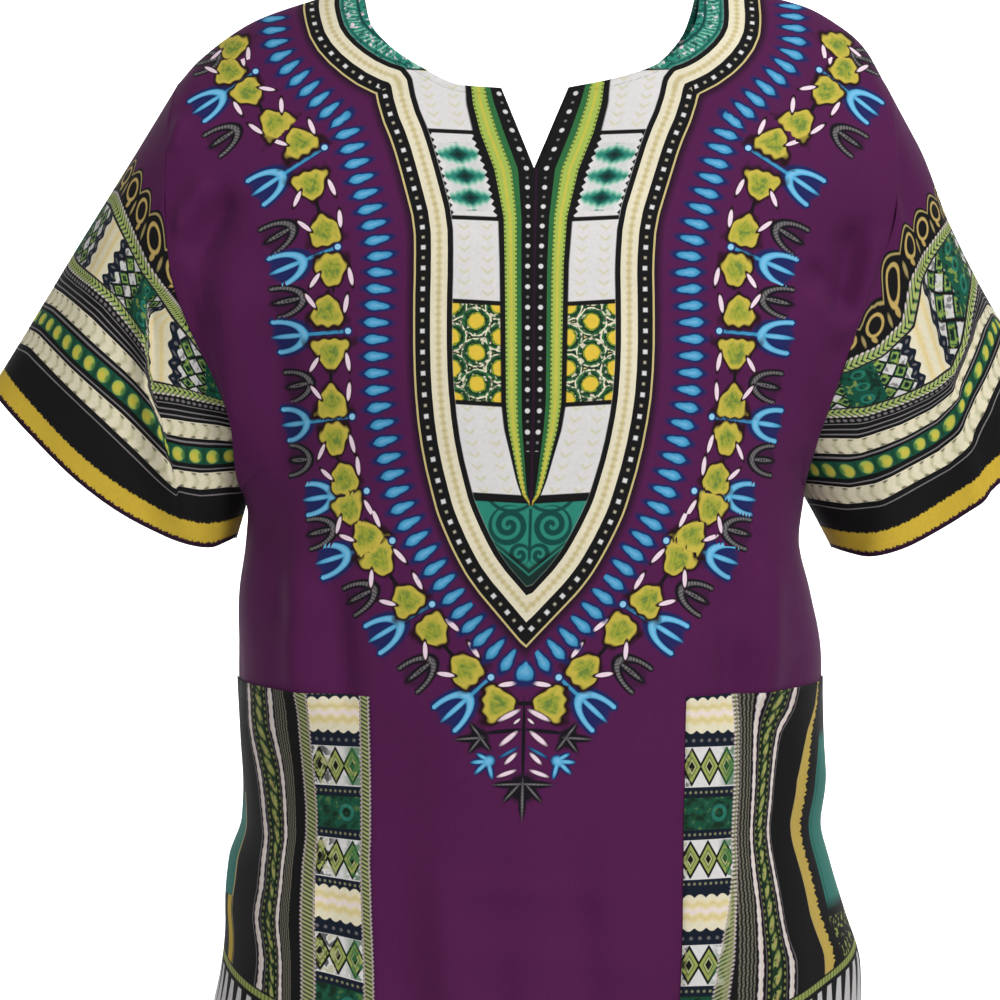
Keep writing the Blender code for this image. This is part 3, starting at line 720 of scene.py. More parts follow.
def motif_places(s, v, faces, heads, roots):
    """For each corner of each face, its place beside the nearest motif: out along the motif, across it, and which it is."""
    out = np.abs(s)
    middle_out = out[faces].mean(axis=1)
    middle_down = v[faces].mean(axis=1)
    best = np.full(len(faces), 1e9)
    which = np.zeros(len(faces), int)
    for k, (head, root) in enumerate(zip(heads, roots)):
        way = head - root
        length = float(np.hypot(*way))
        way = way / length
        a = (middle_out - root[0]) * way[0] + (middle_down - root[1]) * way[1]
        b = (middle_out - root[0]) * way[1] - (middle_down - root[1]) * way[0]
        distance = np.hypot(a - np.clip(a, 0, length), b)
        closer = distance < best
        best = np.where(closer, distance, best)
        which = np.where(closer, k, which)
    head = heads[which]
    root = roots[which]
    way = head - root
    way = way / np.hypot(way[:, 0], way[:, 1])[:, None]
    dx = out[faces] - head[:, None, 0]
    dy = v[faces] - head[:, None, 1]
    along = dx * way[:, None, 0] + dy * way[:, None, 1]
    aside = dx * way[:, None, 1] - dy * way[:, None, 0]
    kind = np.broadcast_to(which[:, None], along.shape)
    return np.stack([along, aside, kind], axis=-1)


def leaf_axes():
    """The middle of each leaf, and a point on the way in from it towards the drops."""
    middles = np.array(LEAVES, float)
    before = np.concatenate([middles[:1] * 2 - middles[1:2], middles[:-1]])
    after = np.concatenate([middles[1:], [[-middles[-1][0], middles[-2][1]]]])
    way = after - before
    way = way / np.hypot(way[:, 0], way[:, 1])[:, None]
    inward = np.stack([-way[:, 1], way[:, 0]], axis=1)
    toward = np.array([60.0, 300.0]) - middles
    turned = (inward * toward).sum(axis=1) < 0
    inward[turned] *= -1
    partners = np.array(LEAF_PARTNERS)
    joined = np.where((partners < len(middles))[:, None], middles[np.minimum(partners, len(middles) - 1)], middles * (-1, 1))
    across = np.stack([-inward[:, 1], inward[:, 0]], axis=1)
    sides = np.where(((joined - middles) * across).sum(axis=1) < 0, -1.0, 1.0)
    return middles, middles + inward * 0.01, sides


def dress_panel(name, front):
    """The shell of the front or the back, with the print's places on it."""
    u, q, faces, cut = panel_net(front)
    points = worn_panel(u, q, front)
    if not front:
        faces = faces[:, ::-1]
    first = points[faces[0]]
    made = shell(name, points, faces)
    normal = np.cross(first[1] - first[0], first[2] - first[0])
    outward = -1 if front else 1
    if normal[1] * outward < 0:
        made.data.flip_normals()
        faces = np.array([tuple(p.vertices) for p in made.data.polygons])
    s, v = panel_spots(u, q, front)
    out = np.abs(s)
    outline = smooth_line(PLASTRON, 1)
    last = np.array(PLASTRON[-1], float)
    past = last + (last - np.array(PLASTRON[-2], float)) * 3
    along, outside = beside_line(out, v, np.concatenate([outline, [past]]))
    closed = np.concatenate([outline, [[0, 25]]])
    t = np.where(inside_outline(np.maximum(out, 0.01), v, closed), -np.abs(outside), np.abs(outside))
    wide = np.concatenate([smooth_line(PLASTRON, 3), [last + (past - last) * 0.45]])
    way = np.gradient(wide, axis=0)
    way = way / np.hypot(way[:, 0], way[:, 1])[:, None]
    side = np.stack([way[:, 1], -way[:, 0]], axis=1)
    squares = wide + side * 19.0
    squares = squares[squares[:, 0] > -40]
    square_along, _ = beside_line(out, v, squares)
    drop_along, drop_out = beside_line(out, v, smooth_line(DROP_LINE, 2))
    slit_edge = np.interp(v, column(SLIT, SLIT_COLUMNS, "down"), column(SLIT, SLIT_COLUMNS, "edge"))
    border = np.interp(v, column(SLIT, SLIT_COLUMNS, "down"), column(SLIT, SLIT_COLUMNS, "border"))
    cut_points = worn_panel(cut[:, 0], cut[:, 1], front)
    _, from_cut = beside_line(points[:, 0] * 1000, -points[:, 2] * 1000, cut_points[:, [0, 2]] * (1000, -1000))
    put_values(made.data, "place", np.stack([s, v, t], axis=1))
    put_values(made.data, "rings", np.stack([square_along, drop_along, drop_out], axis=1))
    put_values(made.data, "slit", np.stack([slit_edge, border, np.abs(from_cut)], axis=1))
    high, low = v[faces].min(axis=1), v[faces].max(axis=1)
    neck = t[faces].min(axis=1) < 31.5
    in_tip = (out[faces].min(axis=1) < 52) & (high < 624) & (low > 500)
    ring = (t[faces].max(axis=1) > 32.5) & (low < 660) & ((drop_out[faces].min(axis=1) < 90) | in_tip)
    part = np.where(low > 700, PARTS.index("foot"), neck * 1 + ring * 2)
    made.data.polygons.foreach_set("material_index", part.astype(np.int32))
    middles, inner, sides = leaf_axes()
    spot = motif_places(s, v, faces, middles, inner)
    spot[..., 1] *= sides[spot[..., 2].astype(int)]
    put_corner_values(made.data, "leaf", spot)
    sprigs = np.array(SPRIGS, float)
    spot = motif_places(s, v, faces, sprigs[:, 0:2], sprigs[:, 2:4])
    lengths = np.hypot(sprigs[:, 0] - sprigs[:, 2], sprigs[:, 1] - sprigs[:, 3])
    signed = lengths * np.where(sprigs[:, 4] > 0, 1, -1)
    spot[..., 2] = signed[spot[..., 2].astype(int)]
    put_corner_values(made.data, "sprig", spot)
    return made


def soft_step(a, low, high):
    share = np.clip((a - low) / (high - low), 0, 1)
    return share * share * (3 - 2 * share)


def height_over(x, z, line):
    """Millimetres that a spot lies above a line that runs from left to right. The line's ends run on straight."""
    line = np.array(line)
    nearest = np.full(x.shape, 1e9)
    over = np.zeros(x.shape)
    for k, (start, end) in enumerate(zip(line[:-1], line[1:])):
        step = end - start
        share = ((x - start[0]) * step[0] + (z - start[1]) * step[1]) / (step @ step)
        share = np.clip(share, -9 if k == 0 else 0, 10 if k == len(line) - 2 else 1)
        off_x = x - start[0] - share * step[0]
        off_z = z - start[1] - share * step[1]
        far = np.hypot(off_x, off_z)
        sign = np.where(step[0] * off_z - step[1] * off_x > 0, 1, -1)
        over = np.where(far < nearest, far * sign, over)
        nearest = np.minimum(far, nearest)
    return over


def level_at(x, z, levels):
    """The level of the print at a spot, from the lines on both sides of it."""
    heights = [height_over(x, z, line[1:]) for line in levels]
    level = levels[0][0] + heights[0] * 1.1
    for k in range(len(levels) - 1):
        share = heights[k] / np.maximum(heights[k] - heights[k + 1], 0.5)
        between = levels[k][0] + (levels[k + 1][0] - levels[k][0]) * np.clip(share, 0, 1)
        level = np.where(heights[k] > 0, between, level)
    return np.where(heights[-1] > 0, levels[-1][0] + heights[-1] * 1.05, level)


def beside_fold(x, z):
    fold = np.array(SLEEVE_FOLD[::-1])
    return x - np.interp(z, fold[:, 1], fold[:, 0])


def past_fold(x, z):
    return soft_step(beside_fold(x, z), -1.0, 1.0) * (1 - soft_step(z, -235, -205))


def fold_hides(points, along, angle, side):
    """Millimetres of the right sleeve's print that its fold hides, for the spots past it."""
    if side > 0:
        return 0.0
    x = points[..., 0] * 1000
    past = past_fold(x, points[..., 2] * 1000) * ((angle > 25) & (angle < 179))
    level_way = (144.1 + (x + 246.6) * 1.05 - along[:, :-1]) * (1 - soft_step(angle, 140, 176))
    hidden = past * (level_way + 33.5 * soft_step(angle, 140, 176))
    return np.append(hidden, hidden[:, :1], axis=1)


def print_level(points, up, angle, side):
    """How far up the print a point of a sleeve is, with the front's bands led round the sleeve's folds."""
    x = points[..., 0] * 1000
    z = points[..., 2] * 1000
    if side > 0:
        level = level_at(x, z, LEFT_LEVELS)
    else:
        outer = level_at(x, z, OUTER_LEVELS)
        inner = level_at(x, z, INNER_LEVELS)
        level = outer + (inner - outer) * past_fold(x, z)
    front = soft_step(angle, 6, 26) * (1 - soft_step(angle, 168, 194))
    return up + (level - up) * front * soft_step(up, 18, 42)


def fold_sleeve(points, angle, side):
    """How far the outer cloth stands over the inner beside the right sleeve's fold, and softer pulls on the left."""
    x = points[..., 0] * 1000
    z = points[..., 2] * 1000
    front = soft_step(angle, 20, 45) * (1 - soft_step(angle, 140, 168))
    if side > 0:
        pull = np.exp(-(((x - 253) * 0.95 + (z + 210) * 0.30) / 7.0) ** 2) * 0.0036
        pull = pull - np.exp(-(((x - 267) * 0.95 + (z + 210) * 0.30) / 9.0) ** 2) * 0.0034
        pull = pull + np.exp(-(((x - 232) * 0.30 + (z + 268) * 0.95) / 8.0) ** 2) * 0.0022
        return pull * front
    beside = beside_fold(x, z)
    reach = soft_step(z, -372, -330) * (1 - soft_step(z, -232, -200))
    lip = np.exp(-np.abs(beside) / 17.0) * (0.5 - soft_step(beside, -2.0, 2.0))
    pull = np.exp(-(((x + 300) * 0.7 - (z + 215) * 0.7) / 9.0) ** 2) * 0.0016
    return (lip * 0.0100 * reach + pull) * front


def dress_sleeve(name, side):
    """The shell of a sleeve. w is millimetres up from its hem and a is millimetres round it."""
    rows = np.linspace(-0.004, 1, SLEEVE_ROWS + 1)
    angles = np.arange(SLEEVE_COLUMNS_ROUND) * 360 / SLEEVE_COLUMNS_ROUND
    row, angle = np.meshgrid(rows, angles, indexing="ij")
    points = sleeve_point(row, angle, side)
    base = sleeve_base(row, angle, side)
    lengths = np.linalg.norm(sleeve_base(1.0, angles, side) - sleeve_base(0.0, angles, side), axis=-1) * 1000
    up = (1 - row) * lengths[None, :]
    ring = sleeve_base(1.0, np.append(angles, 360), side)
    round_steps = np.linalg.norm(np.diff(ring, axis=0), axis=-1) * 1000
    around = np.concatenate([[0], np.cumsum(round_steps)[:-1]])
    girth = round_steps.sum()
    around = np.where(around > girth / 2, around - girth, around)
    level = print_level(points, up, angle, side)
    along = cloth_along(base)
    wave = np.sin(around[None, :] / 15.0 + side) * np.sin(up / 31.0 + 0.7) * 0.0006 * np.clip(row * 3, 0, 1)
    out = unit(points - base.mean(axis=1, keepdims=True))
    points = points + out * (wave + fold_sleeve(points, angle, side))[..., None]
    count = len(angles)
    faces = grid_faces(len(rows), count, True, side > 0)
    made = shell(name, points.reshape(-1, 3), faces)
    half = count // 2
    along = along + fold_hides(points, along, angle, side)
    signed = np.where(np.arange(count) <= half, along[:, :-1], along[:, :-1] - along[:, -1:])
    values = np.stack([signed, level, angle], axis=-1).reshape(-1, 3)
    indices = np.array(faces)
    corner = values[indices]
    columns = indices % count
    seam = (columns.min(axis=1) == half) & (columns.max(axis=1) == half + 1)
    over = seam[:, None] & (columns == half + 1)
    corner[..., 0] = np.where(over, along[:, :-1].reshape(-1)[indices], corner[..., 0])
    put_corner_values(made.data, "place", corner)
    return made


def cloth_along(base):
    """Millimetres round a sleeve's cloth at each row, across the cloth's own length, from the top line and back to it."""
    down = unit(np.gradient(base, axis=0))
    step = np.roll(base, -1, axis=1) - base
    step = step - down * (step * down).sum(axis=-1, keepdims=True)
    lengths = np.linalg.norm(step, axis=-1) * 1000
    return np.concatenate([np.zeros((len(base), 1)), np.cumsum(lengths, axis=1)], axis=1)


def grid_faces(rows, columns, closed=False, flip=False):
    faces = []
    for r in range(rows - 1):
        for c in range(columns if closed else columns - 1):
            d = (c + 1) % columns
            face = (r * columns + c, (r + 1) * columns + c, (r + 1) * columns + d, r * columns + d)
            faces.append(face[::-1] if flip else face)
    return faces


def pocket_places(side):
    """The u and q of a pocket's points, between its inner edge and the side seam."""
    drop = HEM_HEIGHT - UNDERARM_HEIGHT
    top = 1 + (POCKET_TOP_HEIGHT - UNDERARM_HEIGHT) / drop
    bottom = 1 + (POCKET_BOTTOM_HEIGHT - UNDERARM_HEIGHT) / drop
    rows = np.linspace(top, bottom, POCKET_ROWS + 1)
    name = "left" if side > 0 else "right"
    top_x, bottom_x = POCKETS[name]
    height = edge_point(rows, 1, True)[2]
    share = (height - POCKET_TOP_HEIGHT) / (POCKET_BOTTOM_HEIGHT - POCKET_TOP_HEIGHT)
    inner_x = top_x + (bottom_x - top_x) * share
    reach = curve(column(EDGE, EDGE_COLUMNS, "height"), column(EDGE, EDGE_COLUMNS, name + "_reach"), height)
    inner = np.arcsin(inner_x / reach) / (math.pi / 2) * 0.955
    u = inner[:, None] + (1 - inner[:, None]) * np.linspace(0, 1, POCKET_COLUMNS + 1)[None, :]
    dip = POCKET_TOP_DIP * np.clip(1 - share, 0, 1)[:, None] / (UNDERARM_HEIGHT - HEM_HEIGHT)
    q = rows[:, None] + dip * (1 - u) / (1 - 0.33)
    return side * u, q


def dress_pocket(name, side):
    u, q = pocket_places(side)
    points = worn_panel(u, q, True)
    points = points + surface_normal(worn_panel, u, q, True) * POCKET_STAND
    faces = grid_faces(*u.shape, flip=side < 0)
    made = shell(name, points.reshape(-1, 3), faces, 0.0009)
    s, v = panel_spots(u, q, True)
    inner = s[:, :1] * side
    p = np.abs(s) - inner
    drifts = np.array(POCKET_DRIFT["left" if side > 0 else "right"], float)
    drift = np.interp(v, drifts[:, 0], drifts[:, 1]) + np.sin(v / 9.0 + side) * 0.9
    x = p + drift * np.clip((p - 47) / 26, 0, 1)
    put_values(made.data, "place", np.stack([p, v, x], axis=-1).reshape(-1, 3))
    return made


class Amount:
    """A number that varies over the cloth: the output of a node."""

    def __init__(self, paint, socket):
        self.paint = paint
        self.socket = socket

    def __add__(self, other):
        return self.paint.math("ADD", self, other)

    def __radd__(self, other):
        return self.paint.math("ADD", other, self)

    def __sub__(self, other):
        return self.paint.math("SUBTRACT", self, other)

    def __rsub__(self, other):
        return self.paint.math("SUBTRACT", other, self)

    def __mul__(self, other):
        return self.paint.math("MULTIPLY", self, other)

    def __rmul__(self, other):
        return self.paint.math("MULTIPLY", other, self)

    def __truediv__(self, other):
        return self.paint.math("DIVIDE", self, other)

    def __neg__(self):
        return self.paint.math("MULTIPLY", self, -1.0)


class Paint:
    """Builds one cloth material: its colours are laid one over another through soft-edged shapes."""

    def __init__(self, name, roughness=0.82):
        self.material = bpy.data.materials.new(name)
        self.material.use_nodes = True
        self.nodes = self.material.node_tree.nodes
        self.links = self.material.node_tree.links
        self.shader = self.nodes["Principled BSDF"]
        self.shader.inputs["Roughness"].default_value = roughness
        self.shader.inputs["Sheen Weight"].default_value = 0.025
        self.shader.inputs["Sheen Roughness"].default_value = 0.5
        self.shader.inputs["Specular IOR Level"].default_value = 0.14
        self.colour = None

    def put(self, socket, value):
        if isinstance(value, Amount):
            self.links.new(value.socket, socket)
        else:
            socket.default_value = value

    def math(self, operation, *values, clamp=False):
        node = self.nodes.new("ShaderNodeMath")
        node.operation = operation
        node.use_clamp = clamp
        for k, value in enumerate(values):
            self.put(node.inputs[k], value)
        return Amount(self, node.outputs[0])

    def read(self, name):
        """The three numbers kept on the mesh under a name."""
        node = self.nodes.new("ShaderNodeAttribute")
        node.attribute_name = name
        parts = self.nodes.new("ShaderNodeSeparateXYZ")
        self.links.new(node.outputs["Vector"], parts.inputs[0])
        return [Amount(self, parts.outputs[k]) for k in range(3)]

    def size(self, a):
        return self.math("ABSOLUTE", a)

    def least(self, a, b):
        return self.math("MINIMUM", a, b)

    def most(self, a, b):
        return self.math("MAXIMUM", a, b)

    def repeat(self, a, period, start=0.0):
        """Millimetres from the middle of the nearest repeat, to either side."""
        return self.math("WRAP", a if start == 0.0 else a - start, period / 2, -period / 2)

    def below(self, a, edge, soft=0.3):
        """1 where a is under the edge and 0 over it."""
        k = 0.5 / soft
        if isinstance(edge, Amount):
            return self.math("MULTIPLY_ADD", a - edge, -k, 0.5, clamp=True)
        return self.math("MULTIPLY_ADD", a, -k, edge * k + 0.5, clamp=True)

    def above(self, a, edge, soft=0.3):
        k = 0.5 / soft
        if isinstance(edge, Amount):
            return self.math("MULTIPLY_ADD", a - edge, k, 0.5, clamp=True)
        return self.math("MULTIPLY_ADD", a, k, 0.5 - edge * k, clamp=True)

    def band(self, a, low, high, soft=0.3):
        return self.below(self.size(a - (low + high) / 2), (high - low) / 2, soft)

    def length(self, a, b):
        return self.math("SQRT", self.math("MULTIPLY_ADD", a, a, b * b))

    def oval(self, a, b, middle_a, middle_b, half_a, half_b, turn=0.0):
        """1 on the rim of an oval, less inside it: a stroke or a blob. turn is in degrees from a towards b."""
        c = math.cos(math.radians(turn))
        d = math.sin(math.radians(turn))
        if turn == 0.0:
            along = self.math("MULTIPLY_ADD", a, 1 / half_a, -middle_a / half_a)
            aside = self.math("MULTIPLY_ADD", b, 1 / half_b, -middle_b / half_b)
        else:
            first = self.math("MULTIPLY_ADD", a, c / half_a, -(middle_a * c + middle_b * d) / half_a)
            along = self.math("MULTIPLY_ADD", b, d / half_a, first)
            second = self.math("MULTIPLY_ADD", a, -d / half_b, (middle_a * d - middle_b * c) / half_b)
            aside = self.math("MULTIPLY_ADD", b, c / half_b, second)
        return self.math("SQRT", self.math("MULTIPLY_ADD", along, along, aside * aside))

    def nearest(self, *shapes):
        found = shapes[0]
        for shape in shapes[1:]:
            found = self.least(found, shape)
        return found

    def all_of(self, *masks):
        found = masks[0]
        for mask in masks[1:]:
            found = found * mask
        return found

    def noise(self, scale, detail=2.0, where=None):
        node = self.nodes.new("ShaderNodeTexNoise")
        node.inputs["Scale"].default_value = scale
        node.inputs["Detail"].default_value = detail
        if where is None:
            place = self.nodes.new("ShaderNodeTexCoord")
            self.links.new(place.outputs["Object"], node.inputs["Vector"])
        else:
            self.links.new(where, node.inputs["Vector"])
        return Amount(self, node.outputs[0])

    def ramp(self, a, low, high, stops):
        """Colours that change at the stops along a. Each stop is where its colour begins."""
        share = self.math("MULTIPLY_ADD", a, 1 / (high - low), -low / (high - low))
        node = self.nodes.new("ShaderNodeValToRGB")
        node.color_ramp.interpolation = "CONSTANT"
        while len(node.color_ramp.elements) > 1:
            node.color_ramp.elements.remove(node.color_ramp.elements[-1])
        for k, (place, name) in enumerate(stops):
            position = min(max((place - low) / (high - low), 0.0), 1.0)
            if k == 0:
                stop = node.color_ramp.elements[0]
                stop.position = position
            else:
                stop = node.color_ramp.elements.new(position)
            stop.color = (*COLOURS[name], 1.0)
        self.links.new(share.socket, node.inputs[0])
        return Amount(self, node.outputs[0])

    def lay(self, what, mask, strength=1.0):
        """Lays a colour, or another Amount's colour, over what is there."""
        if self.colour is None:
            self.colour = what if isinstance(what, Amount) else self.tone(what)
            return
        node = self.nodes.new("ShaderNodeMix")
        node.data_type = "RGBA"
        node.clamp_factor = True
        self.put(node.inputs[0], mask if strength == 1.0 else mask * strength)
        self.links.new(self.colour.socket, node.inputs[6])
        if isinstance(what, Amount):
            self.links.new(what.socket, node.inputs[7])
        else:
            node.inputs[7].default_value = (*COLOURS[what], 1.0)
        self.colour = Amount(self, node.outputs[2])

    def tone(self, name):
        node = self.nodes.new("ShaderNodeRGB")
        node.outputs[0].default_value = (*COLOURS[name], 1.0)
        return Amount(self, node.outputs[0])

    def mixed(self, first, second, mask):
        node = self.nodes.new("ShaderNodeMix")
        node.data_type = "RGBA"
        self.put(node.inputs[0], mask)
        for k, what in ((6, first), (7, second)):
            if isinstance(what, Amount):
                self.links.new(what.socket, node.inputs[k])
            else:
                node.inputs[k].default_value = (*COLOURS[what], 1.0)
        return Amount(self, node.outputs[2])

    def mixed_value(self, first, second, mask):
        return self.math("MULTIPLY_ADD", mask, second - first, first)

    def finish(self, groove=None):
        """Worn, slightly uneven dye and the weave's fine relief."""
        uneven = self.noise(9.0, 3.0)
        fine = self.noise(420.0, 2.0)
        value = self.math("MULTIPLY_ADD", uneven, 0.26, 0.87)
        value = value + self.math("MULTIPLY_ADD", fine, 0.20, -0.10)
        node = self.nodes.new("ShaderNodeMix")
        node.data_type = "RGBA"
        node.blend_type = "MULTIPLY"
        node.inputs[0].default_value = 1.0
        self.links.new(self.colour.socket, node.inputs[6])
        self.links.new(value.socket, node.inputs[7])
        self.links.new(node.outputs[2], self.shader.inputs["Base Color"])
        bump = self.nodes.new("ShaderNodeBump")
        bump.inputs["Strength"].default_value = 0.22
        bump.inputs["Distance"].default_value = 0.0004
        height = self.noise(700.0, 2.0)
        soft = self.noise(60.0, 2.0)
        height = self.math("MULTIPLY_ADD", soft, 1.4, height)
        if groove is not None:
            height = self.math("MULTIPLY_ADD", groove, -3.0, height)
        self.links.new(height.socket, bump.inputs["Height"])
        self.links.new(bump.outputs[0], self.shader.inputs["Normal"])
        return self.material


def border_print(p, up, along, start):
    """The border: bands up from a hem, for the sleeves and the foot of the shirt."""
    rag = p.math("PINGPONG", along + p.math("SINE", along * 0.9) * 0.8, 1.7) * 0.9
    low = p.ramp(up, 0, 102, (
        (0, "halo"), (2.6, "gold"), (16.5, "black"), (32, "grey"), (33, "black"), (36.5, "cream"), (47.5, "black"),
        (49.5, "grey"), (50.5, "black"), (53, "deep_green"), (64, "black"), (66, "grey"), (67, "black"), (69, "cream"),
        (80.5, "black"), (83.5, "grey"), (84.7, "black"), (88, "grey"), (89.2, "black"), (92.6, "grey"), (93.6, "black"),
        (99, "dark_green"),
    ))
    high = p.ramp(up, 98, 200, (
        (98, "dark_green"), (108, "cream"), (148, "dark_green"), (156, "black"), (200, "purple"),
    ))
    p.lay(low, 1.0)
    p.lay(high, p.above(up, 100, 0.1))
    p.lay("halo", p.below(p.size(up - 2.6), rag) * p.above(up, 2.6, 0.4))
    p.lay("black", p.below(p.size(up - 16.5), rag * 0.6))
    for middle in (42.0, 74.75):
        here = p.band(up, middle - 5.2, middle + 5.2)
        braid = p.size(p.repeat(along + p.size(up - middle) * 0.5, 8.2))
        p.lay("dash_tan", p.below(braid, 1.3, 1.0) * here, 0.65)
        p.lay("olive_tick", p.below(p.size(p.repeat(along - p.size(up - middle) * 1.3, 8.2, 4.1)), 0.5, 0.5) * here, 0.4)
        p.lay("black", p.below(p.oval(p.size(up - middle), braid, 6.2, 0.0, 2.2, 1.9), 1.0, 0.3) * here, 0.85)
    drop = p.repeat(along, 11.4)
    p.lay("lime", p.below(p.oval(up, drop, 58.5, 0.0, 4.3, 3.9), 1.0, 0.12))
    p.lay("yellow", p.below(p.oval(up, drop, 57.9, -0.8, 2.8, 2.4), 1.0, 0.5), 0.6)
    p.lay("green", p.below(p.oval(up, drop, 58.5, 3.4, 2.6, 1.5), 1.0, 0.4), 0.8)
    p.lay("dark_green", p.below(p.size(p.size(drop) - 5.2), 0.5, 0.3) * p.band(up, 53, 64), 0.8)
    p.lay("grey", p.below(p.length(p.repeat(along, 3.8), up - 96.3), 1.2), 0.9)
    for middle in (104.0, 152.0):
        offset = up - middle
        rope = p.size(p.repeat(along + p.size(offset) * 0.7, 3.4))
        here = p.band(up, middle - 4.6, middle + 4.6)
        p.lay("green", here, 0.6)
        p.lay("dash_tan", p.below(rope, 1.1, 0.4) * here, 0.9)
        p.lay("lime", p.below(rope, 0.8, 0.4) * p.band(up, middle - 2.4, middle + 2.4), 0.85)
        p.lay("black", p.below(p.length(p.repeat(along, 3.4, 1.7), offset), 0.8))
        p.lay("pink_white", p.below(p.length(p.repeat(along, 3.4), p.size(offset) - 4.2), 0.8, 0.3), 0.75)

    # Blocks of cream, dark waves, white triangles and green, over and over.
    block = p.repeat(along, 92.0, start)
    third = p.size(block)
    row = p.band(up, 108.6, 147.4)
    wavy = third + p.math("SINE", up * 0.62) * 1.5
    p.lay("yellow", p.below(p.size(p.repeat(third, 9.5, 4.4)), 1.6, 1.8) * p.below(third, 11) * row, 0.55)
    p.lay("navy_black", p.band(wavy, 10.6, 17.5) * row)
    p.lay("grey", p.below(p.length(wavy - 14.0, p.repeat(up, 6.0)), 1.2) * row, 0.6)
    triangles = p.above(wavy, 17.5) * row
    p.lay("deep_green", triangles)
    lozenge = p.size(p.repeat(up, 13.0, 115.0)) * 0.85 + p.size(p.repeat(third, 10.5, 23.0)) * 1.05
    p.lay("white", p.above(lozenge, 6.2) * triangles, 0.9)
    p.lay("black", p.band(lozenge, 4.6, 6.3) * triangles)
    p.lay("lime", p.band(lozenge, 2.4, 3.8) * triangles, 0.6)
    p.lay("black", p.below(lozenge, 1.6) * triangles, 0.85)
    p.lay("deep_green", p.above(third, 35.0) * row)
    blotch = p.noise(210.0, 2.0)
    p.lay("black", p.below(blotch, 0.42, 0.03) * p.above(third, 17) * row, 0.65)
    p.lay("lime", p.above(blotch, 0.63, 0.03) * p.above(third, 17) * row, 0.5)
    p.lay("teal", p.band(p.length(third - 46.0, p.repeat(up, 13.0, 115.0)), 2.6, 4.4) * p.above(third, 36) * row, 0.7)
    p.lay("black", p.below(p.size(p.size(up - 128.0) - 20.0), 0.8))

    # Gold rings on black under a scalloped edge.
    beyond = p.above(up, 157.0)
    edge = p.math("MULTIPLY_ADD", p.size(p.math("SINE", along * (math.pi / 19.0))), 6.5, 174.0)
    over = p.math("SUBTRACT", up, edge)
    p.lay("purple", p.above(over, 0.0) * beyond)
    p.lay("dull_tan", p.band(over, -2.8, -1.5) * beyond, 0.9)
    near = p.repeat(along, 19.0, 9.5)
    ring = p.length(near, up - 168.0)
    p.lay("ring_tan", p.band(ring, 4.6, 6.4, 0.3), 0.9)
    p.lay("ring_tan", p.below(p.oval(up, near, 161.0, 3.2, 2.6, 1.3, 24), 1.0, 0.2), 0.85)
    p.lay("dull_tan", p.below(p.oval(up, p.size(near), 163.0, 9.5, 4.0, 1.0), 1.0, 0.3), 0.8)


# The parts of a panel's print. Each face of a panel takes the part that has what shows on it.
PARTS = ("plain", "neck", "ring", "both", "foot")


def body_print(name, part):
    """One part of the print of the front or the back: the neck piece, the rings round it, both, the foot, or plain."""
    p = Paint(name)
    s, v, t = p.read("place")
    square_along, drop_along, drop_out = p.read("rings")
    slit_edge, border, from_cut = p.read("slit")
    out = p.size(s)
    p.lay("purple", 1.0)
    if part in ("ring", "both"):
        ring_print(p, s, v, drop_along, drop_out)
    if part in ("neck", "both"):
        outline_print(p, t, square_along)
        neck_print(p, s, out, v, t, slit_edge, border, square_along)
    if part == "foot":
        foot_print(p, s, v, out)
    stitch = p.below(p.size(p.repeat(v + s, 3.2)), 1.1) * p.band(from_cut, 4.4, 5.1, 0.15)
    groove = p.band(from_cut, 3.6, 5.9, 0.8)
    p.lay("black", stitch, 0.30)
    return p.finish(groove)


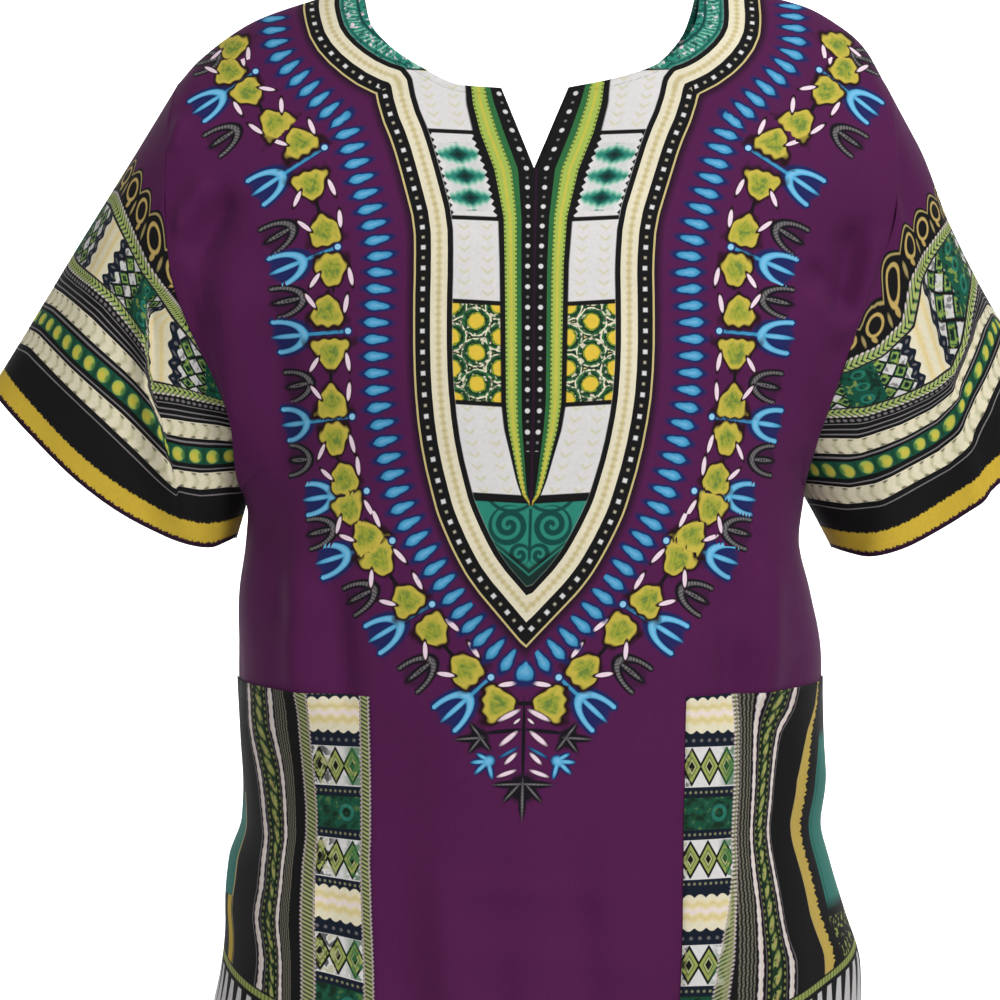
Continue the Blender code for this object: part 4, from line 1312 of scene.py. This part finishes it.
def ring_print(p, s, v, drop_along, drop_out):
    """The rings of drops, leaves and sprigs, and the tip."""
    leaf_out, leaf_across, leaf_kind = p.read("leaf")
    sprig_out, sprig_across, sprig_long = p.read("sprig")

    # The forked sprigs. A blue one has blue strokes on navy and a black one has grey beads on black.
    across = p.size(sprig_across)
    blue = p.above(sprig_long, 0.0, 0.1)
    root = p.size(sprig_long)
    grown = p.mixed_value(0.88, 0.84, blue)
    a = sprig_out * grown
    b = across * grown
    cup = p.size(p.oval(a, b, 9.0, 0, 17.0, 8.4) - 1.0) * 8.4 + p.most(a - 9.4, 0.0) * 1.2
    tine = p.oval(a, b, 0.8, 0, 9.6, 1.3)
    prongs = p.least(cup * 0.82, tine)
    hollow = p.least(cup * p.mixed_value(0.50, 0.33, blue), p.oval(a, b, 0.8, 0, 11.0, 2.6))
    stem_end = p.size(sprig_out + (root + 8.0) * 0.5) - (root - 8.0) * 0.5
    stem = p.below(across, 1.1) * p.below(stem_end, 0.0, 0.4)
    between = p.below(p.oval(a, b, 1.2, 0, 9.8, 8.2), 1.0, 0.12)
    p.lay("navy", between * blue, 0.9)
    p.lay("sprig_black", between * (1.0 - blue), 0.40)
    p.lay("navy", p.below(hollow, 1.0, 0.15) * blue, 0.93)
    p.lay("sprig_black", p.below(hollow, 1.0, 0.15) * (1.0 - blue))
    p.lay("navy", p.below(across, 2.0) * p.below(stem_end, 1.0, 0.4) * blue, 0.9)
    p.lay("drop_blue", stem * blue, 0.9)
    p.lay("sky", p.below(prongs, 1.0, 0.2) * blue)
    p.lay("pale_blue", p.below(prongs, 0.5, 0.3) * blue, 0.5)
    beads = p.below(p.size(p.repeat(a + b * 0.7, 2.3)), 0.75, 0.3)
    thin = p.least(p.size(cup - 0.2), p.size(tine - 0.5) * 2.0)
    p.lay("grey", p.below(thin, 0.55, 0.3) * (1.0 - blue) * p.math("MULTIPLY_ADD", beads, 0.7, 0.3), 0.85)

    # The ring of leaves, in pairs on a dark stem, with a pale dash on each side of it.
    wander = p.math("SINE", leaf_kind * 2.3)
    kind = p.math("SINE", leaf_kind * 5.1)
    taper = p.math("MULTIPLY_ADD", leaf_across, p.math("MULTIPLY_ADD", kind, 0.014, 0.044), 1.0)
    pointed = (leaf_out + wander * 0.6) * taper
    leaf = p.oval(pointed, leaf_across, 0.0, -0.5, 9.2, 10.2)
    edge = p.math("SINE", p.math("MULTIPLY_ADD", leaf_across, 0.62, leaf_kind * 1.7)) * 0.05
    leaf = leaf + edge
    edge = p.math("SINE", p.math("MULTIPLY_ADD", leaf_out, 0.85, leaf_kind * 3.0)) * 0.055
    leaf = leaf + edge
    joint = p.oval(leaf_out, leaf_across, 0.0, 12.6, 1.2, 5.0)
    p.lay("sprig_black", p.below(joint, 1.1, 0.15))
    p.lay("maroon", p.below(leaf, 1.24, 0.12))
    p.lay("leaf_rim", p.below(leaf, 1.0, 0.06))
    speckle = p.noise(260.0, 2.0)
    vein = p.size(p.repeat(p.size(leaf_out) * 1.2 + leaf_across * 0.55, 3.6))
    middle = p.below(leaf + (speckle - 0.5) * 0.7, 0.66, 0.2)
    p.lay("leaf_middle", middle, 0.85)
    p.lay("leaf_rim", p.below(vein, 0.5, 0.5) * middle, 0.45)
    p.lay("green", p.below(speckle, 0.45, 0.05) * p.below(leaf, 0.55, 0.2), 0.55)
    dashes = p.least(
        p.oval(leaf_out, leaf_across, -12.2, 4.6, 1.5, 5.8, 8),
        p.oval(leaf_out, leaf_across, 11.4, 5.6, 5.5, 1.45, 52) + p.above(leaf_kind, 18.5, 0.1) * 9.0,
    )
    p.lay("maroon", p.below(dashes, 1.45, 0.15))
    p.lay("pink_white", p.below(dashes, 1.0, 0.12))
    dot = p.length(sprig_out + root, across)
    p.lay("navy", p.below(dot, 3.2) * blue)
    p.lay("pale_blue", p.below(dot, 2.0) * blue)

    # The ring of blue drops.
    drop = p.oval(drop_out, p.repeat(drop_along, 11.0), 0.0, 0.0, 7.8, 2.3)
    flared = p.oval(drop_out, p.repeat(drop_along, 11.0), 2.2, 0.0, 5.0, 3.0)
    drop = p.least(drop, flared)
    p.lay("navy", p.below(drop, 1.55, 0.25))
    p.lay("drop_blue", p.below(drop, 1.0, 0.12))
    p.lay("pale_blue", p.below(drop, 0.42, 0.3), 0.4)

    tip_print(p, s, v)


def outline_print(p, t, square_along):
    """The bands of the neck piece's outline."""
    bands = p.ramp(t, -2, 34, (
        (-2, "black"), (3.3, "cream"), (14, "black"), (23.6, "tan"), (25.0, "halo"),
    ))
    p.lay("halo", p.band(t, 22.0, 28.6, 2.2))
    p.lay(bands, p.band(t, -0.6, 25.2, 0.2))
    p.lay("tan", p.band(t, 7.6, 9.8, 0.8), 0.75)
    line = p.size(t - 19.0)
    p.lay("white", p.below(p.most(p.size(p.repeat(square_along, 13.8)), line), 1.4, 0.35))
    p.lay("cream", p.below(p.most(p.size(p.repeat(square_along, 13.8, 6.9)), line), 0.85, 0.4), 0.6)
    picot = p.below(p.size(p.repeat(square_along, 4.8)), 1.0) * p.band(t, 6.6, 10.8)
    p.lay("dull_tan", picot, 0.35)


def foot_print(p, s, v, out):
    """The border above the hem."""
    hem_top = p.math("MULTIPLY_ADD", out * out, -0.000158, 733.0)
    foot = p.above(v, hem_top)
    base = p.colour
    p.colour = None
    up = p.math("SUBTRACT", float(profile_length(HEM_HEIGHT)), v)
    sweep = p.most(out - 150.0, 0.0) * 0.27
    border_print(p, up + sweep * p.math("MINIMUM", up * 0.01, 1.0), s, 0.0)
    drop_down = v - hem_top
    p.lay("white", p.below(drop_down, 24.0))
    zigzag = p.size(p.repeat(s, 9.0)) * 2.6 + 4.0
    p.lay("grey", p.below(drop_down, zigzag) * p.below(drop_down, 20.0))
    p.lay("lime", p.below(drop_down, 4.0))
    p.lay("dark_green", p.band(drop_down, 1.4, 2.4))
    p.lay("black", p.below(drop_down, 0.7))
    whole = p.colour
    p.colour = base
    p.lay(whole, foot)


def tip_print(p, s, v):
    """The stem, dashes and sprigs that hang from the point of the ring."""
    out = p.size(s)
    down = v - 524.0

    def strokes(rows, more):
        return p.nearest(*(p.oval(down, out, at, off, reach + more, half + more, turn) for at, off, reach, half, turn in rows))

    black_rows = (
        (64.6, 8.0, 8.6, 0.55, 88), (69.6, 6.6, 6.2, 0.6, 42), (74.0, 0.0, 10.4, 0.7, 0),
        (35.7, 34.0, 7.4, 0.6, 86), (39.2, 30.2, 5.2, 0.6, 38), (31.4, 29.8, 4.8, 0.6, -37), (38.4, 24.8, 4.4, 0.6, -38),
    )
    blue_rows = (
        (50.2, 22.0, 3.6, 3.0, 60), (50.5, 27.4, 4.8, 1.2, 86), (54.0, 26.2, 5.0, 1.2, 46), (55.4, 20.8, 5.0, 1.2, -14),
        (47.6, 25.2, 4.0, 1.1, 118),
    )
    dash_rows = (
        (20.8, 9.5, 6.9, 1.5, 62), (24.6, 4.4, 2.4, 0.8, 50), (35.6, 9.5, 6.4, 1.5, 50), (48.3, 7.9, 4.6, 1.3, 46),
        (57.8, 10.4, 5.7, 1.2, 70),
    )
    ground = p.nearest(
        strokes(black_rows, 2.0),
        p.oval(down, out, 37.5, 0, 27.0, 1.2),
        p.oval(down, out, 67.0, 0, 9.0, 9.5),
        p.oval(down, out, 35.5, 28.5, 6.5, 6.5),
        p.oval(down, out, 31.0, 13.0, 13.0, 1.3, 84),
    )
    p.lay("sprig_black", p.below(ground, 1.0, 0.2))
    beads = p.below(p.size(p.repeat(down + out * 0.8, 2.2)), 0.8, 0.4)
    p.lay("grey", p.below(strokes(black_rows, 0.0), 1.0, 0.5) * p.math("MULTIPLY_ADD", beads, 0.6, 0.4), 0.9)
    stalk = p.oval(down, out, 44.6, 9.5, 7.8, 1.3, 61)
    p.lay("navy", p.below(p.least(strokes(blue_rows, 1.4), stalk), 1.0, 0.15))
    blue = strokes(blue_rows, 0.0)
    p.lay("drop_blue", p.below(stalk, 0.6, 0.3), 0.6)
    p.lay("sky", p.below(blue, 1.0, 0.3))
    p.lay("pale_blue", p.below(blue, 0.5, 0.4), 0.5)
    dashes = strokes(dash_rows, 0.0)
    p.lay("maroon", p.below(strokes(dash_rows, 0.7), 1.0, 0.2))
    p.lay("pink_white", p.below(dashes, 1.0, 0.25))


def neck_print(p, s, out, v, t, slit_edge, border, square_along):
    """What the outline holds: six panels beside the slit's border, and the band round the neck."""
    inside = p.below(t, -0.3, 0.3)
    gap = out - border
    total = p.most(gap - t, 1.0)
    share = gap / total
    rows = p.math("MULTIPLY_ADD", gap, 0.06, v)
    p.lay("white", inside)

    # Pale ticks on the three white panels.
    columns = p.repeat(share, 0.5, 0.25) * total
    tick_bend = p.size(columns) * 0.8
    first = p.repeat(v + tick_bend, 6.6, 2.0)
    second = p.repeat(v + tick_bend, 7.4, 4.0)
    ticks = p.mixed_value(first, second, p.above(v, 170, 0.2))
    tick = p.below(p.size(ticks), 0.85, 0.6) * p.below(p.size(columns), 3.4, 0.8)
    p.lay("olive_tick", tick * inside, 0.7)

    # Teal and white waves with dark lozenges.
    teal = p.band(rows, 166.0, 227.0) * inside
    middle = (share - 0.5) * total
    p.lay("teal", teal)
    up = p.repeat(v, 15.2, 181.5)
    frill = p.math("SINE", middle * 1.5) * 0.5
    lens = p.size(up) + p.size(middle) * 0.36 + frill
    p.lay("mint", p.below(lens, 8.2, 0.9) * teal * p.band(v, 173.5, 220.0), 0.75)
    p.lay("white", p.above(lens, 7.4, 0.7) * teal, 0.9)
    p.lay("white", p.most(p.below(v, 173.0, 0.4), p.above(v, 221.0, 0.4)) * teal)
    p.lay("teal", p.below(lens, 5.6, 1.2) * teal * p.band(v, 173.5, 220.0))
    lozenge = p.size(up) + p.size(middle) * 0.72
    p.lay("dark_teal", p.below(lozenge, 4.7, 1.1) * teal * p.band(v, 173.5, 220.0))
    p.lay("black", p.below(lozenge, 2.0, 0.8) * teal * p.band(v, 173.5, 220.0), 0.7)
    p.lay("white", p.above(p.size(middle) + p.math("SINE", v * 0.41) * 1.5, 11.5, 0.6) * teal)
    p.lay("black", p.above(p.size(middle) + p.size(p.repeat(v, 5.1)) * 0.9, total * 0.5) * teal)

    # Yellow flowers in green rings.
    flowers = p.band(rows, 283.0, 348.5) * inside
    central = p.length(middle, p.repeat(v, 20.3, 294.7))
    beside = p.length(p.size(middle) - total * 0.5, p.repeat(v, 20.3, 304.9))
    flower = p.least(central, beside)
    rough = p.noise(240.0, 2.0)
    flower = flower + (rough - 0.5) * 3.0
    petals = p.ramp(flower, 0, 14, (
        (0, "yellow"), (4.7, "leaf_middle"), (5.7, "dark_green"), (7.4, "green"), (8.6, "cream"), (9.6, "dark_green"), (10.8, "tan"),
    ))
    p.lay(petals, flowers)
    speck = p.length(p.repeat(middle + v * 0.5, 5.2), p.repeat(v - middle * 0.4, 5.8))
    p.lay("black", p.below(speck, 1.0, 0.3) * flowers * p.above(flower, 4.9), 0.75)
    p.lay("dark_green", p.below(p.noise(330.0, 1.0), 0.43, 0.03) * flowers * p.above(flower, 5.2), 0.8)
    p.lay("cream", p.above(p.noise(270.0, 1.0), 0.62, 0.03) * flowers * p.above(flower, 6.0), 0.8)

    # Dark curls on teal in the point.
    point = p.above(rows, 407.0) * inside
    p.lay("teal", point)
    curls = []
    for middle_out, middle_down, reach, pitch in ((13.6, 424.5, 12.8, 6.2), (6.2, 443.0, 7.2, 5.0)):
        dx = out - middle_out
        dy = v - middle_down
        distance = p.length(dx, dy)
        turn = p.math("ARCTAN2", dy, dx) * (1 / (2 * math.pi))
        coil = p.size(p.repeat(distance / pitch + turn, 1.0))
        curls.append(p.all_of(p.below(coil, 0.30, 0.06), p.below(distance, reach, 0.4)))
    p.lay("dark_teal", p.most(curls[0], curls[1]) * point)
    p.lay("dark_teal", p.below(out, 1.0, 0.3) * p.band(v, 414, 446) * point)
    p.lay("dark_teal", p.below(p.size(p.length(out - 12.0, v - 398.0) - 17.5), 1.1, 0.4) * point)
    p.lay("black", p.above(v + out * 0.75, 451.5, 1.2) * point, 0.9)
    p.lay("teal", p.band(v + out * 0.85, 455.0, 456.6) * point, 0.8)
    p.lay("black", p.band(rows, 407, 411.0) * point)

    # The black lines between the panels.
    for line in PANEL_LINES:
        p.lay("black", p.band(rows, line - 1.5, line + 1.5) * inside)

    # The slit's border.
    k = p.math("DIVIDE", out - slit_edge, p.most(border - slit_edge, 0.5))
    on_border = p.below(k, 1.0, 0.02) * p.band(v, 119, 412)
    stripes = p.ramp(k, 0, 1, (
        (0, "black"), (0.37, "green"), (0.50, "lime"), (0.84, "black"),
    ))
    p.lay(stripes, on_border)
    width = p.most(border - slit_edge, 0.5)
    white_dot = p.length((k - 0.19) * width, p.repeat(v, 13.4, 4.0))
    p.lay("white", p.below(white_dot, 1.55, 0.3) * p.below(v, 378))
    small_dot = p.length((k - 0.19) * width, p.repeat(v, 13.4, 10.7))
    p.lay("grey", p.below(small_dot, 0.9, 0.3) * p.below(v, 378))
    lime_edge = p.size(p.size(k - 0.67) - 0.15) * width
    p.lay("dark_green", p.below(p.length(lime_edge, p.repeat(v, 3.0)), 0.75, 0.25) * on_border, 0.8)
    p.lay("yellow", p.below(p.size(k - 0.67) * width, 0.9, 0.5) * on_border, 0.5)
    p.lay("halo", p.below(out, 0.8) * p.band(v, 192, 412))

    # The band of teal with pale ticks round the neck.
    collar = p.most(p.below(v, 118.5), p.above(out - v * 0.1, 80.0)) * inside
    p.lay("teal", collar)
    p.lay("mint", p.below(p.size(p.repeat(square_along + t * 0.5, 5.0)), 0.9) * collar * p.band(t, -11, -3.5), 0.6)
    fleck = p.noise(300.0, 1.0)
    p.lay("pink_white", p.above(fleck, 0.64, 0.02) * collar * p.below(t, -2.5), 0.85)
    p.lay("dark_teal", p.below(fleck, 0.40, 0.03) * collar, 0.8)
    p.lay("dark_teal", p.band(t, -13.5, -11.8) * collar)
    p.lay("dark_teal", p.band(t, -3.0, -1.5) * collar, 0.7)


def sleeve_print(name, start):
    p = Paint(name)
    along, up, angle = p.read("place")
    border_print(p, up, along, start)
    groove = p.band(up, 17.4, 19.0, 0.8)
    return p.finish(groove)


def pocket_print(name, side):
    """The pockets: a ladder of small patterns by the inner edge, then wavy lines and chains out to the side seam."""
    p = Paint(name)
    place, v, x = p.read("place")
    p.lay("black", 1.0)
    slope = p.most(v - 600.0, 0.0) * 0.0016 if side < 0 else 0.0
    tilted = v + (place - 25.0) * slope if side < 0 else v
    period = 120.5 if side < 0 else 125.0
    row = p.math("WRAP", tilted - 534.8, period, 0.0)
    rows = p.ramp(row, 0, 126, (
        (0, "cream"), (21.0, "navy_black"), (31.2, "white"), (57.0, "navy_black"), (63.6, "deep_green"), (84, "navy_black"), (90.4, "white"),
        (115.6, "navy_black"),
    ))
    start, end = (7.0, 43.5) if side < 0 else (-1.0, 34.0)
    narrowing = p.math("MINIMUM", p.most(v - 545.0, 0.0) * 0.07, 4.4) if side < 0 else p.most(v - 640.0, 0.0) * 0.10
    ladder = p.above(place, start) * p.below(place + narrowing, end)
    p.lay(rows, ladder)
    streak = p.math("SINE", place * 0.75) * 0.8 + row
    cream = p.below(row, 21.0, 0.2) * ladder
    p.lay("yellow", p.band(streak, 4.6, 8.2, 1.3) * cream, 0.5)
    p.lay("yellow", p.band(streak, 12.6, 16.6, 1.3) * cream, 0.55)
    p.lay("olive_tick", p.most(p.band(streak, 5.8, 6.8, 0.6), p.band(streak, 14.2, 15.2, 0.6)) * cream, 0.7)
    p.lay("pink_white", p.below(p.size(streak - 10.3), 1.3, 0.8) * cream, 0.5)
    ragged = p.size(p.math("SINE", place * 0.43)) * 2.2
    p.lay("cream", p.all_of(p.band(row, 20.5, 25.0), p.below(row, 20.8 + ragged)) * ladder)
    p.lay("navy_black", p.below(row, 2.2 - ragged, 0.3) * ladder)
    p.lay("grey", p.below(p.length(p.repeat(place, 5.4), row - 27.4), 1.1) * ladder, 0.7)
    for low, high in ((31.2, 57.0), (90.4, 115.6)):
        middle = (low + high) / 2
        here = p.band(row, low + 0.6, high - 0.6) * ladder
        tall = (high - low) / 2
        lozenge = p.size(p.repeat(place, 12.0, start + 5.4)) * (tall / 7.4) + p.size(row - middle)
        p.lay("black", p.below(lozenge, tall - 0.2) * here)
        p.lay("olive_leaf", p.below(lozenge, tall - 3.0) * here)
        p.lay("dark_green", p.below(p.size(lozenge - (tall - 7.0)), 0.6, 0.5) * here, 0.8)
        p.lay("olive_tick", p.below(lozenge, tall - 7.6) * here, 0.45)
        p.lay("black", p.below(lozenge, tall - 9.3) * here)
        blur = p.noise(200.0, 2.0)
        side_part = p.below(place, start + 9.0, 4.0) if side < 0 else p.above(place + narrowing, end - 7.0, 4.0)
        far_part = p.above(place + narrowing, end - 14.0, 4.0) if side < 0 else p.below(place, 3.0, 2.0)
        p.lay("green", p.above(blur, 0.46, 0.03) * here * side_part, 0.8)
        p.lay("black", p.below(blur, 0.47, 0.03) * here * far_part, 0.85)
        p.lay("dash_tan", p.above(blur, 0.58, 0.03) * here * far_part, 0.7)
    p.lay("dash_tan", p.below(p.length(p.repeat(place, 3.6), p.least(p.size(row - 60.4), p.size(row - 87.2))), 0.85) * ladder, 0.5)
    p.lay("dash_tan", p.below(p.length(p.repeat(place, 3.6), row - 118.4), 0.85) * ladder, 0.5)
    ring = p.length(p.repeat(place, 40.0, start + 10.0 if side < 0 else end - 10.0), row - 73.8)
    green_row = p.band(row, 63.6, 84.0) * ladder
    speckle = p.noise(190.0, 2.0)
    p.lay("dark_green", p.below(speckle, 0.50, 0.06) * green_row, 0.8)
    p.lay("black", p.below(speckle, 0.40, 0.03) * green_row, 0.6)
    p.lay("leaf_middle", p.above(speckle, 0.63, 0.03) * green_row, 0.3)
    p.lay("teal", p.band(ring, 3.0, 6.0, 0.5) * green_row, 0.6)
    p.lay("black", p.band(ring, 5.4, 6.4, 0.5) * green_row, 0.6)
    p.lay("black", p.band(ring, 1.4, 2.8, 0.5) * green_row, 0.7)

    # Ropes of slanted dashes on both sides of the ladder.
    shift = place + narrowing
    if side < 0:
        edges = ((place - 3.6, 3.0), (shift - 48.0, 4.0))
    else:
        edges = ((shift - 35.8, 1.6), (shift - 35.0 + narrowing * 0.2, p.math("MINIMUM", narrowing * 0.8, 5.0)))
    for offset, half in edges:
        slant = p.size(p.repeat(v + offset * 0.5, 2.7))
        rope = p.below(p.size(offset), half)
        p.lay("dark_green", rope, 0.5)
        p.lay("dash_tan", p.below(slant, 0.65, 0.5) * rope, 0.85)
        p.lay("olive_leaf", p.below(slant, 0.5, 0.4) * p.below(p.size(offset), 1.3, 0.6) * rope, 0.8)
        p.lay("pink_white", p.below(p.length(p.size(offset) - half, p.repeat(v, 2.7)), 0.7, 0.4), 0.55)

    # Wavy lines, a chain of leaves and, farther out, gold fringe and teal.
    first, second = (79.5, 110.5) if side < 0 else (52.0, 85.0)
    near_rope = p.band(x, first - 17.0, first - 4.6) * (1.0 - ladder)
    fine = p.below(p.size(p.repeat(x + p.math("SINE", v * 0.9) * 0.25, 2.6, first)), 0.5, 0.5)
    p.lay("dash_tan", fine * near_rope * p.below(p.size(p.repeat(v + x * 0.6, 2.4)), 0.8, 0.6), 0.45)
    p.lay("grey", fine * near_rope, 0.35)
    p.lay("grey", p.below(p.size(x - (second + 5.0)), 0.45), 0.7)
    for middle in (first, second):
        rough = p.math("SINE", v * 1.1) * 0.3 + p.math("SINE", v * 0.37) * 0.3
        p.lay("pink_white", p.below(p.size(x - middle) + rough, 2.3, 0.5), 0.9)
        p.lay("olive_tick", p.below(p.size(x - middle) + rough, 1.7, 0.5), 0.6)
        p.lay("white", p.below(p.size(x - middle + 0.8), 0.8, 0.5), 0.8)
    centre = (first + second) / 2
    lean = v + (x - centre) * 0.8
    chain = p.oval(x, p.repeat(lean, 11.0), centre, 0, 4.4, 4.2)
    olive = p.noise(260.0, 2.0)
    p.lay("dark_green", p.band(x, centre - 7.4, centre + 7.4), 0.55)
    p.lay("olive_leaf", p.below(chain, 1.0, 0.2) * p.above(olive, 0.44, 0.05), 0.9)
    p.lay("dull_tan", p.below(p.oval(x, p.repeat(lean, 11.0), centre + 0.6, 1.2, 1.8, 2.6), 1.0, 0.5), 0.7)
    p.lay("olive_leaf", p.below(p.length(p.size(x - centre) - 8.2, p.repeat(v, 4.4)), 1.1, 0.4), 0.6)
    p.lay("black", p.below(p.size(p.size(x - centre) - 6.2), 0.7))
    p.lay("grey", p.below(p.size(p.size(x - centre) - 10.8), 0.5), 0.5)
    teeth = p.math("PINGPONG", v + p.math("SINE", v * 0.7), 2.1)
    if side < 0:
        p.lay("dull_teal", p.above(x, 150.5, 0.5) * p.above(v, 612.0, 8.0))
        p.lay("tan", p.band(x, 148.8, 150.6) * p.above(v, 605.0), 0.8)
        p.lay("black", p.above(v, 672.0) * p.above(x, 149.5))
        p.lay("gold", p.band(x, 151.0, 160.0) * p.above(v, 672.0), 0.8)
    else:
        wide = p.math("MINIMUM", p.most(v - 530.0, 0.0) * 0.16, 9.5)
        p.lay("gold", p.above(x, 121.0) * p.below(x - teeth * 1.6 - wide, 121.5), 0.95)
        p.lay("dull_tan", p.above(x, 121.0) * p.below(x, 134.0, 2.0) * p.below(x - teeth * 1.6 - wide, 121.5), 0.45)
        p.lay("dull_tan", p.band(x, 121.0, 122.4), 0.6)
        p.lay("dull_teal", p.above(x, 145.5, 0.5) * p.band(v, 566.0, 676.0, 4.0))
        p.lay("dark_teal", p.below(p.size(x - 149.5), 0.9, 0.5) * p.band(v, 580.0, 676.0, 4.0), 0.7)
        p.lay("olive_leaf", p.above(olive, 0.58, 0.03) * p.above(v, 684.0) * p.above(x, 143.0), 0.8)

    # Where the shirt's lower border crosses the pocket's outer corner.
    over = v + p.most(place - 62.0, 0.0) * 0.27 - 731.0
    corner = p.above(over, 0.0)
    p.lay("black", corner)
    p.lay("olive_leaf", p.band(over, 1.2, 5.4), 0.95)
    p.lay("dark_green", p.below(p.size(p.repeat(place, 3.4)), 0.6, 0.4) * p.band(over, 1.2, 5.4), 0.7)
    p.lay("white", p.above(over, 8.4) * p.above(p.size(p.repeat(place, 12.0)) + over * 0.1, 4.4), 0.8)
    edge_groove = p.band(v, 541.0, 543.0, 0.6)
    return p.finish(edge_groove)


def area_of(made):
    return sum(face.area for face in made.data.polygons)


def dress():
    """Every piece, with its cloth and its material, hung on the root in place of its solid part."""
    body_cloth = [body_print("front_cotton_" + part, part) for part in PARTS]
    back_cloth = [body_print("back_cotton_" + part, part) for part in PARTS]
    left_cloth = [sleeve_print("sleeve_left_cotton", 4.6)]
    right_cloth = [sleeve_print("sleeve_right_cotton", 52.1)]
    left_pocket = [pocket_print("pocket_left_cotton", 1)]
    right_pocket = [pocket_print("pocket_right_cotton", -1)]
    for name, node, made, cloth, slot in (
        ("front_cloth", "front", dress_panel("front_cloth", True), body_cloth, "front_cloth"),
        ("back_cloth", "back", dress_panel("back_cloth", False), back_cloth, "back_cloth"),
        ("sleeve_left_cloth", "sleeve_left", dress_sleeve("sleeve_left_cloth", 1), left_cloth, "sleeve_cloth"),
        ("sleeve_right_cloth", "sleeve_right", dress_sleeve("sleeve_right_cloth", -1), right_cloth, "sleeve_cloth"),
        ("pocket_left_cloth", "pocket_left", dress_pocket("pocket_left_cloth", 1), left_pocket, "pocket_cloth"),
        ("pocket_right_cloth", "pocket_right", dress_pocket("pocket_right_cloth", -1), right_pocket, "pocket_cloth"),
    ):
        kept = np.zeros(len(made.data.polygons), dtype=np.int32)
        made.data.polygons.foreach_get("material_index", kept)
        for each in cloth:
            made.data.materials.append(each)
        made.data.polygons.foreach_set("material_index", kept)
        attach(made, "root")
        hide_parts(node)
        print(name, "area", round(area_of(made), 4))


def plain_material(name, colour, roughness):
    made = bpy.data.materials.new(name)
    made.use_nodes = True
    shader = made.node_tree.nodes["Principled BSDF"]
    shader.inputs["Base Color"].default_value = (*colour, 1.0)
    shader.inputs["Roughness"].default_value = roughness
    return made


def studio():
    """A pale sweep behind and below the shirt, soft light from both sides, and the camera."""
    profile = [(-2.6, -1.20), (3.2, -1.20)]
    profile += [(3.2 + 0.9 * math.sin(a), -0.30 - 0.9 * math.cos(a)) for a in np.linspace(0.1, 1.5, 12)]
    profile += [(4.1, 2.4)]
    points = [(x, y, z) for y, z in profile for x in (-3.4, 3.4)]
    faces = [(2 * k, 2 * k + 1, 2 * k + 3, 2 * k + 2) for k in range(len(profile) - 1)]
    mesh = bpy.data.meshes.new("backdrop")
    mesh.from_pydata(points, [], faces)
    mesh.shade_smooth()
    backdrop = bpy.data.objects.new("backdrop", mesh)
    bpy.context.scene.collection.objects.link(backdrop)
    mesh.materials.append(plain_material("backdrop_paper", (0.93, 0.93, 0.93), 0.9))
    for name, place, aim, size, power in (
        ("key", (1.15, -1.8, 1.7), (0, 0, -0.30), 0.8, 60),
        ("fill", (-1.9, -2.5, 0.6), (0, 0, -0.35), 1.8, 13),
        ("low", (0.2, -2.9, -0.5), (0, 0, -0.45), 1.8, 6),
        ("wall_left", (-2.2, 2.2, 0.9), (-0.2, 4.1, -0.3), 1.6, 110),
        ("wall_right", (2.2, 2.2, 0.9), (0.2, 4.1, -0.3), 1.6, 110),
    ):
        light = bpy.data.lights.new(name, "AREA")
        light.shape = "DISK"
        light.size = size
        light.energy = power
        lamp = bpy.data.objects.new(name, light)
        lamp.location = place
        lamp.rotation_euler = (Vector(aim) - Vector(place)).to_track_quat("-Z", "Y").to_euler()
        bpy.context.scene.collection.objects.link(lamp)
    world = bpy.data.worlds.new("studio")
    world.use_nodes = True
    world.node_tree.nodes["Background"].inputs["Color"].default_value = (1.0, 1.0, 1.0, 1.0)
    world.node_tree.nodes["Background"].inputs["Strength"].default_value = 0.22
    bpy.context.scene.world = world
    bpy.context.scene.view_settings.view_transform = "Standard"
    lens = bpy.data.cameras.new("camera")
    lens.sensor_width = 36.0
    lens.lens = 36.0 * 2.646
    lens.shift_y = -0.020
    lens.clip_end = 50.0
    camera = bpy.data.objects.new("camera", lens)
    camera.location = (-0.0204, -1.8, -0.335)
    camera.rotation_euler = (math.radians(90), 0, 0)
    bpy.context.scene.collection.objects.link(camera)
    bpy.context.scene.camera = camera


dress()
studio()
bpy.context.scene.cycles.max_bounces = 4
bpy.context.scene.cycles.diffuse_bounces = 2
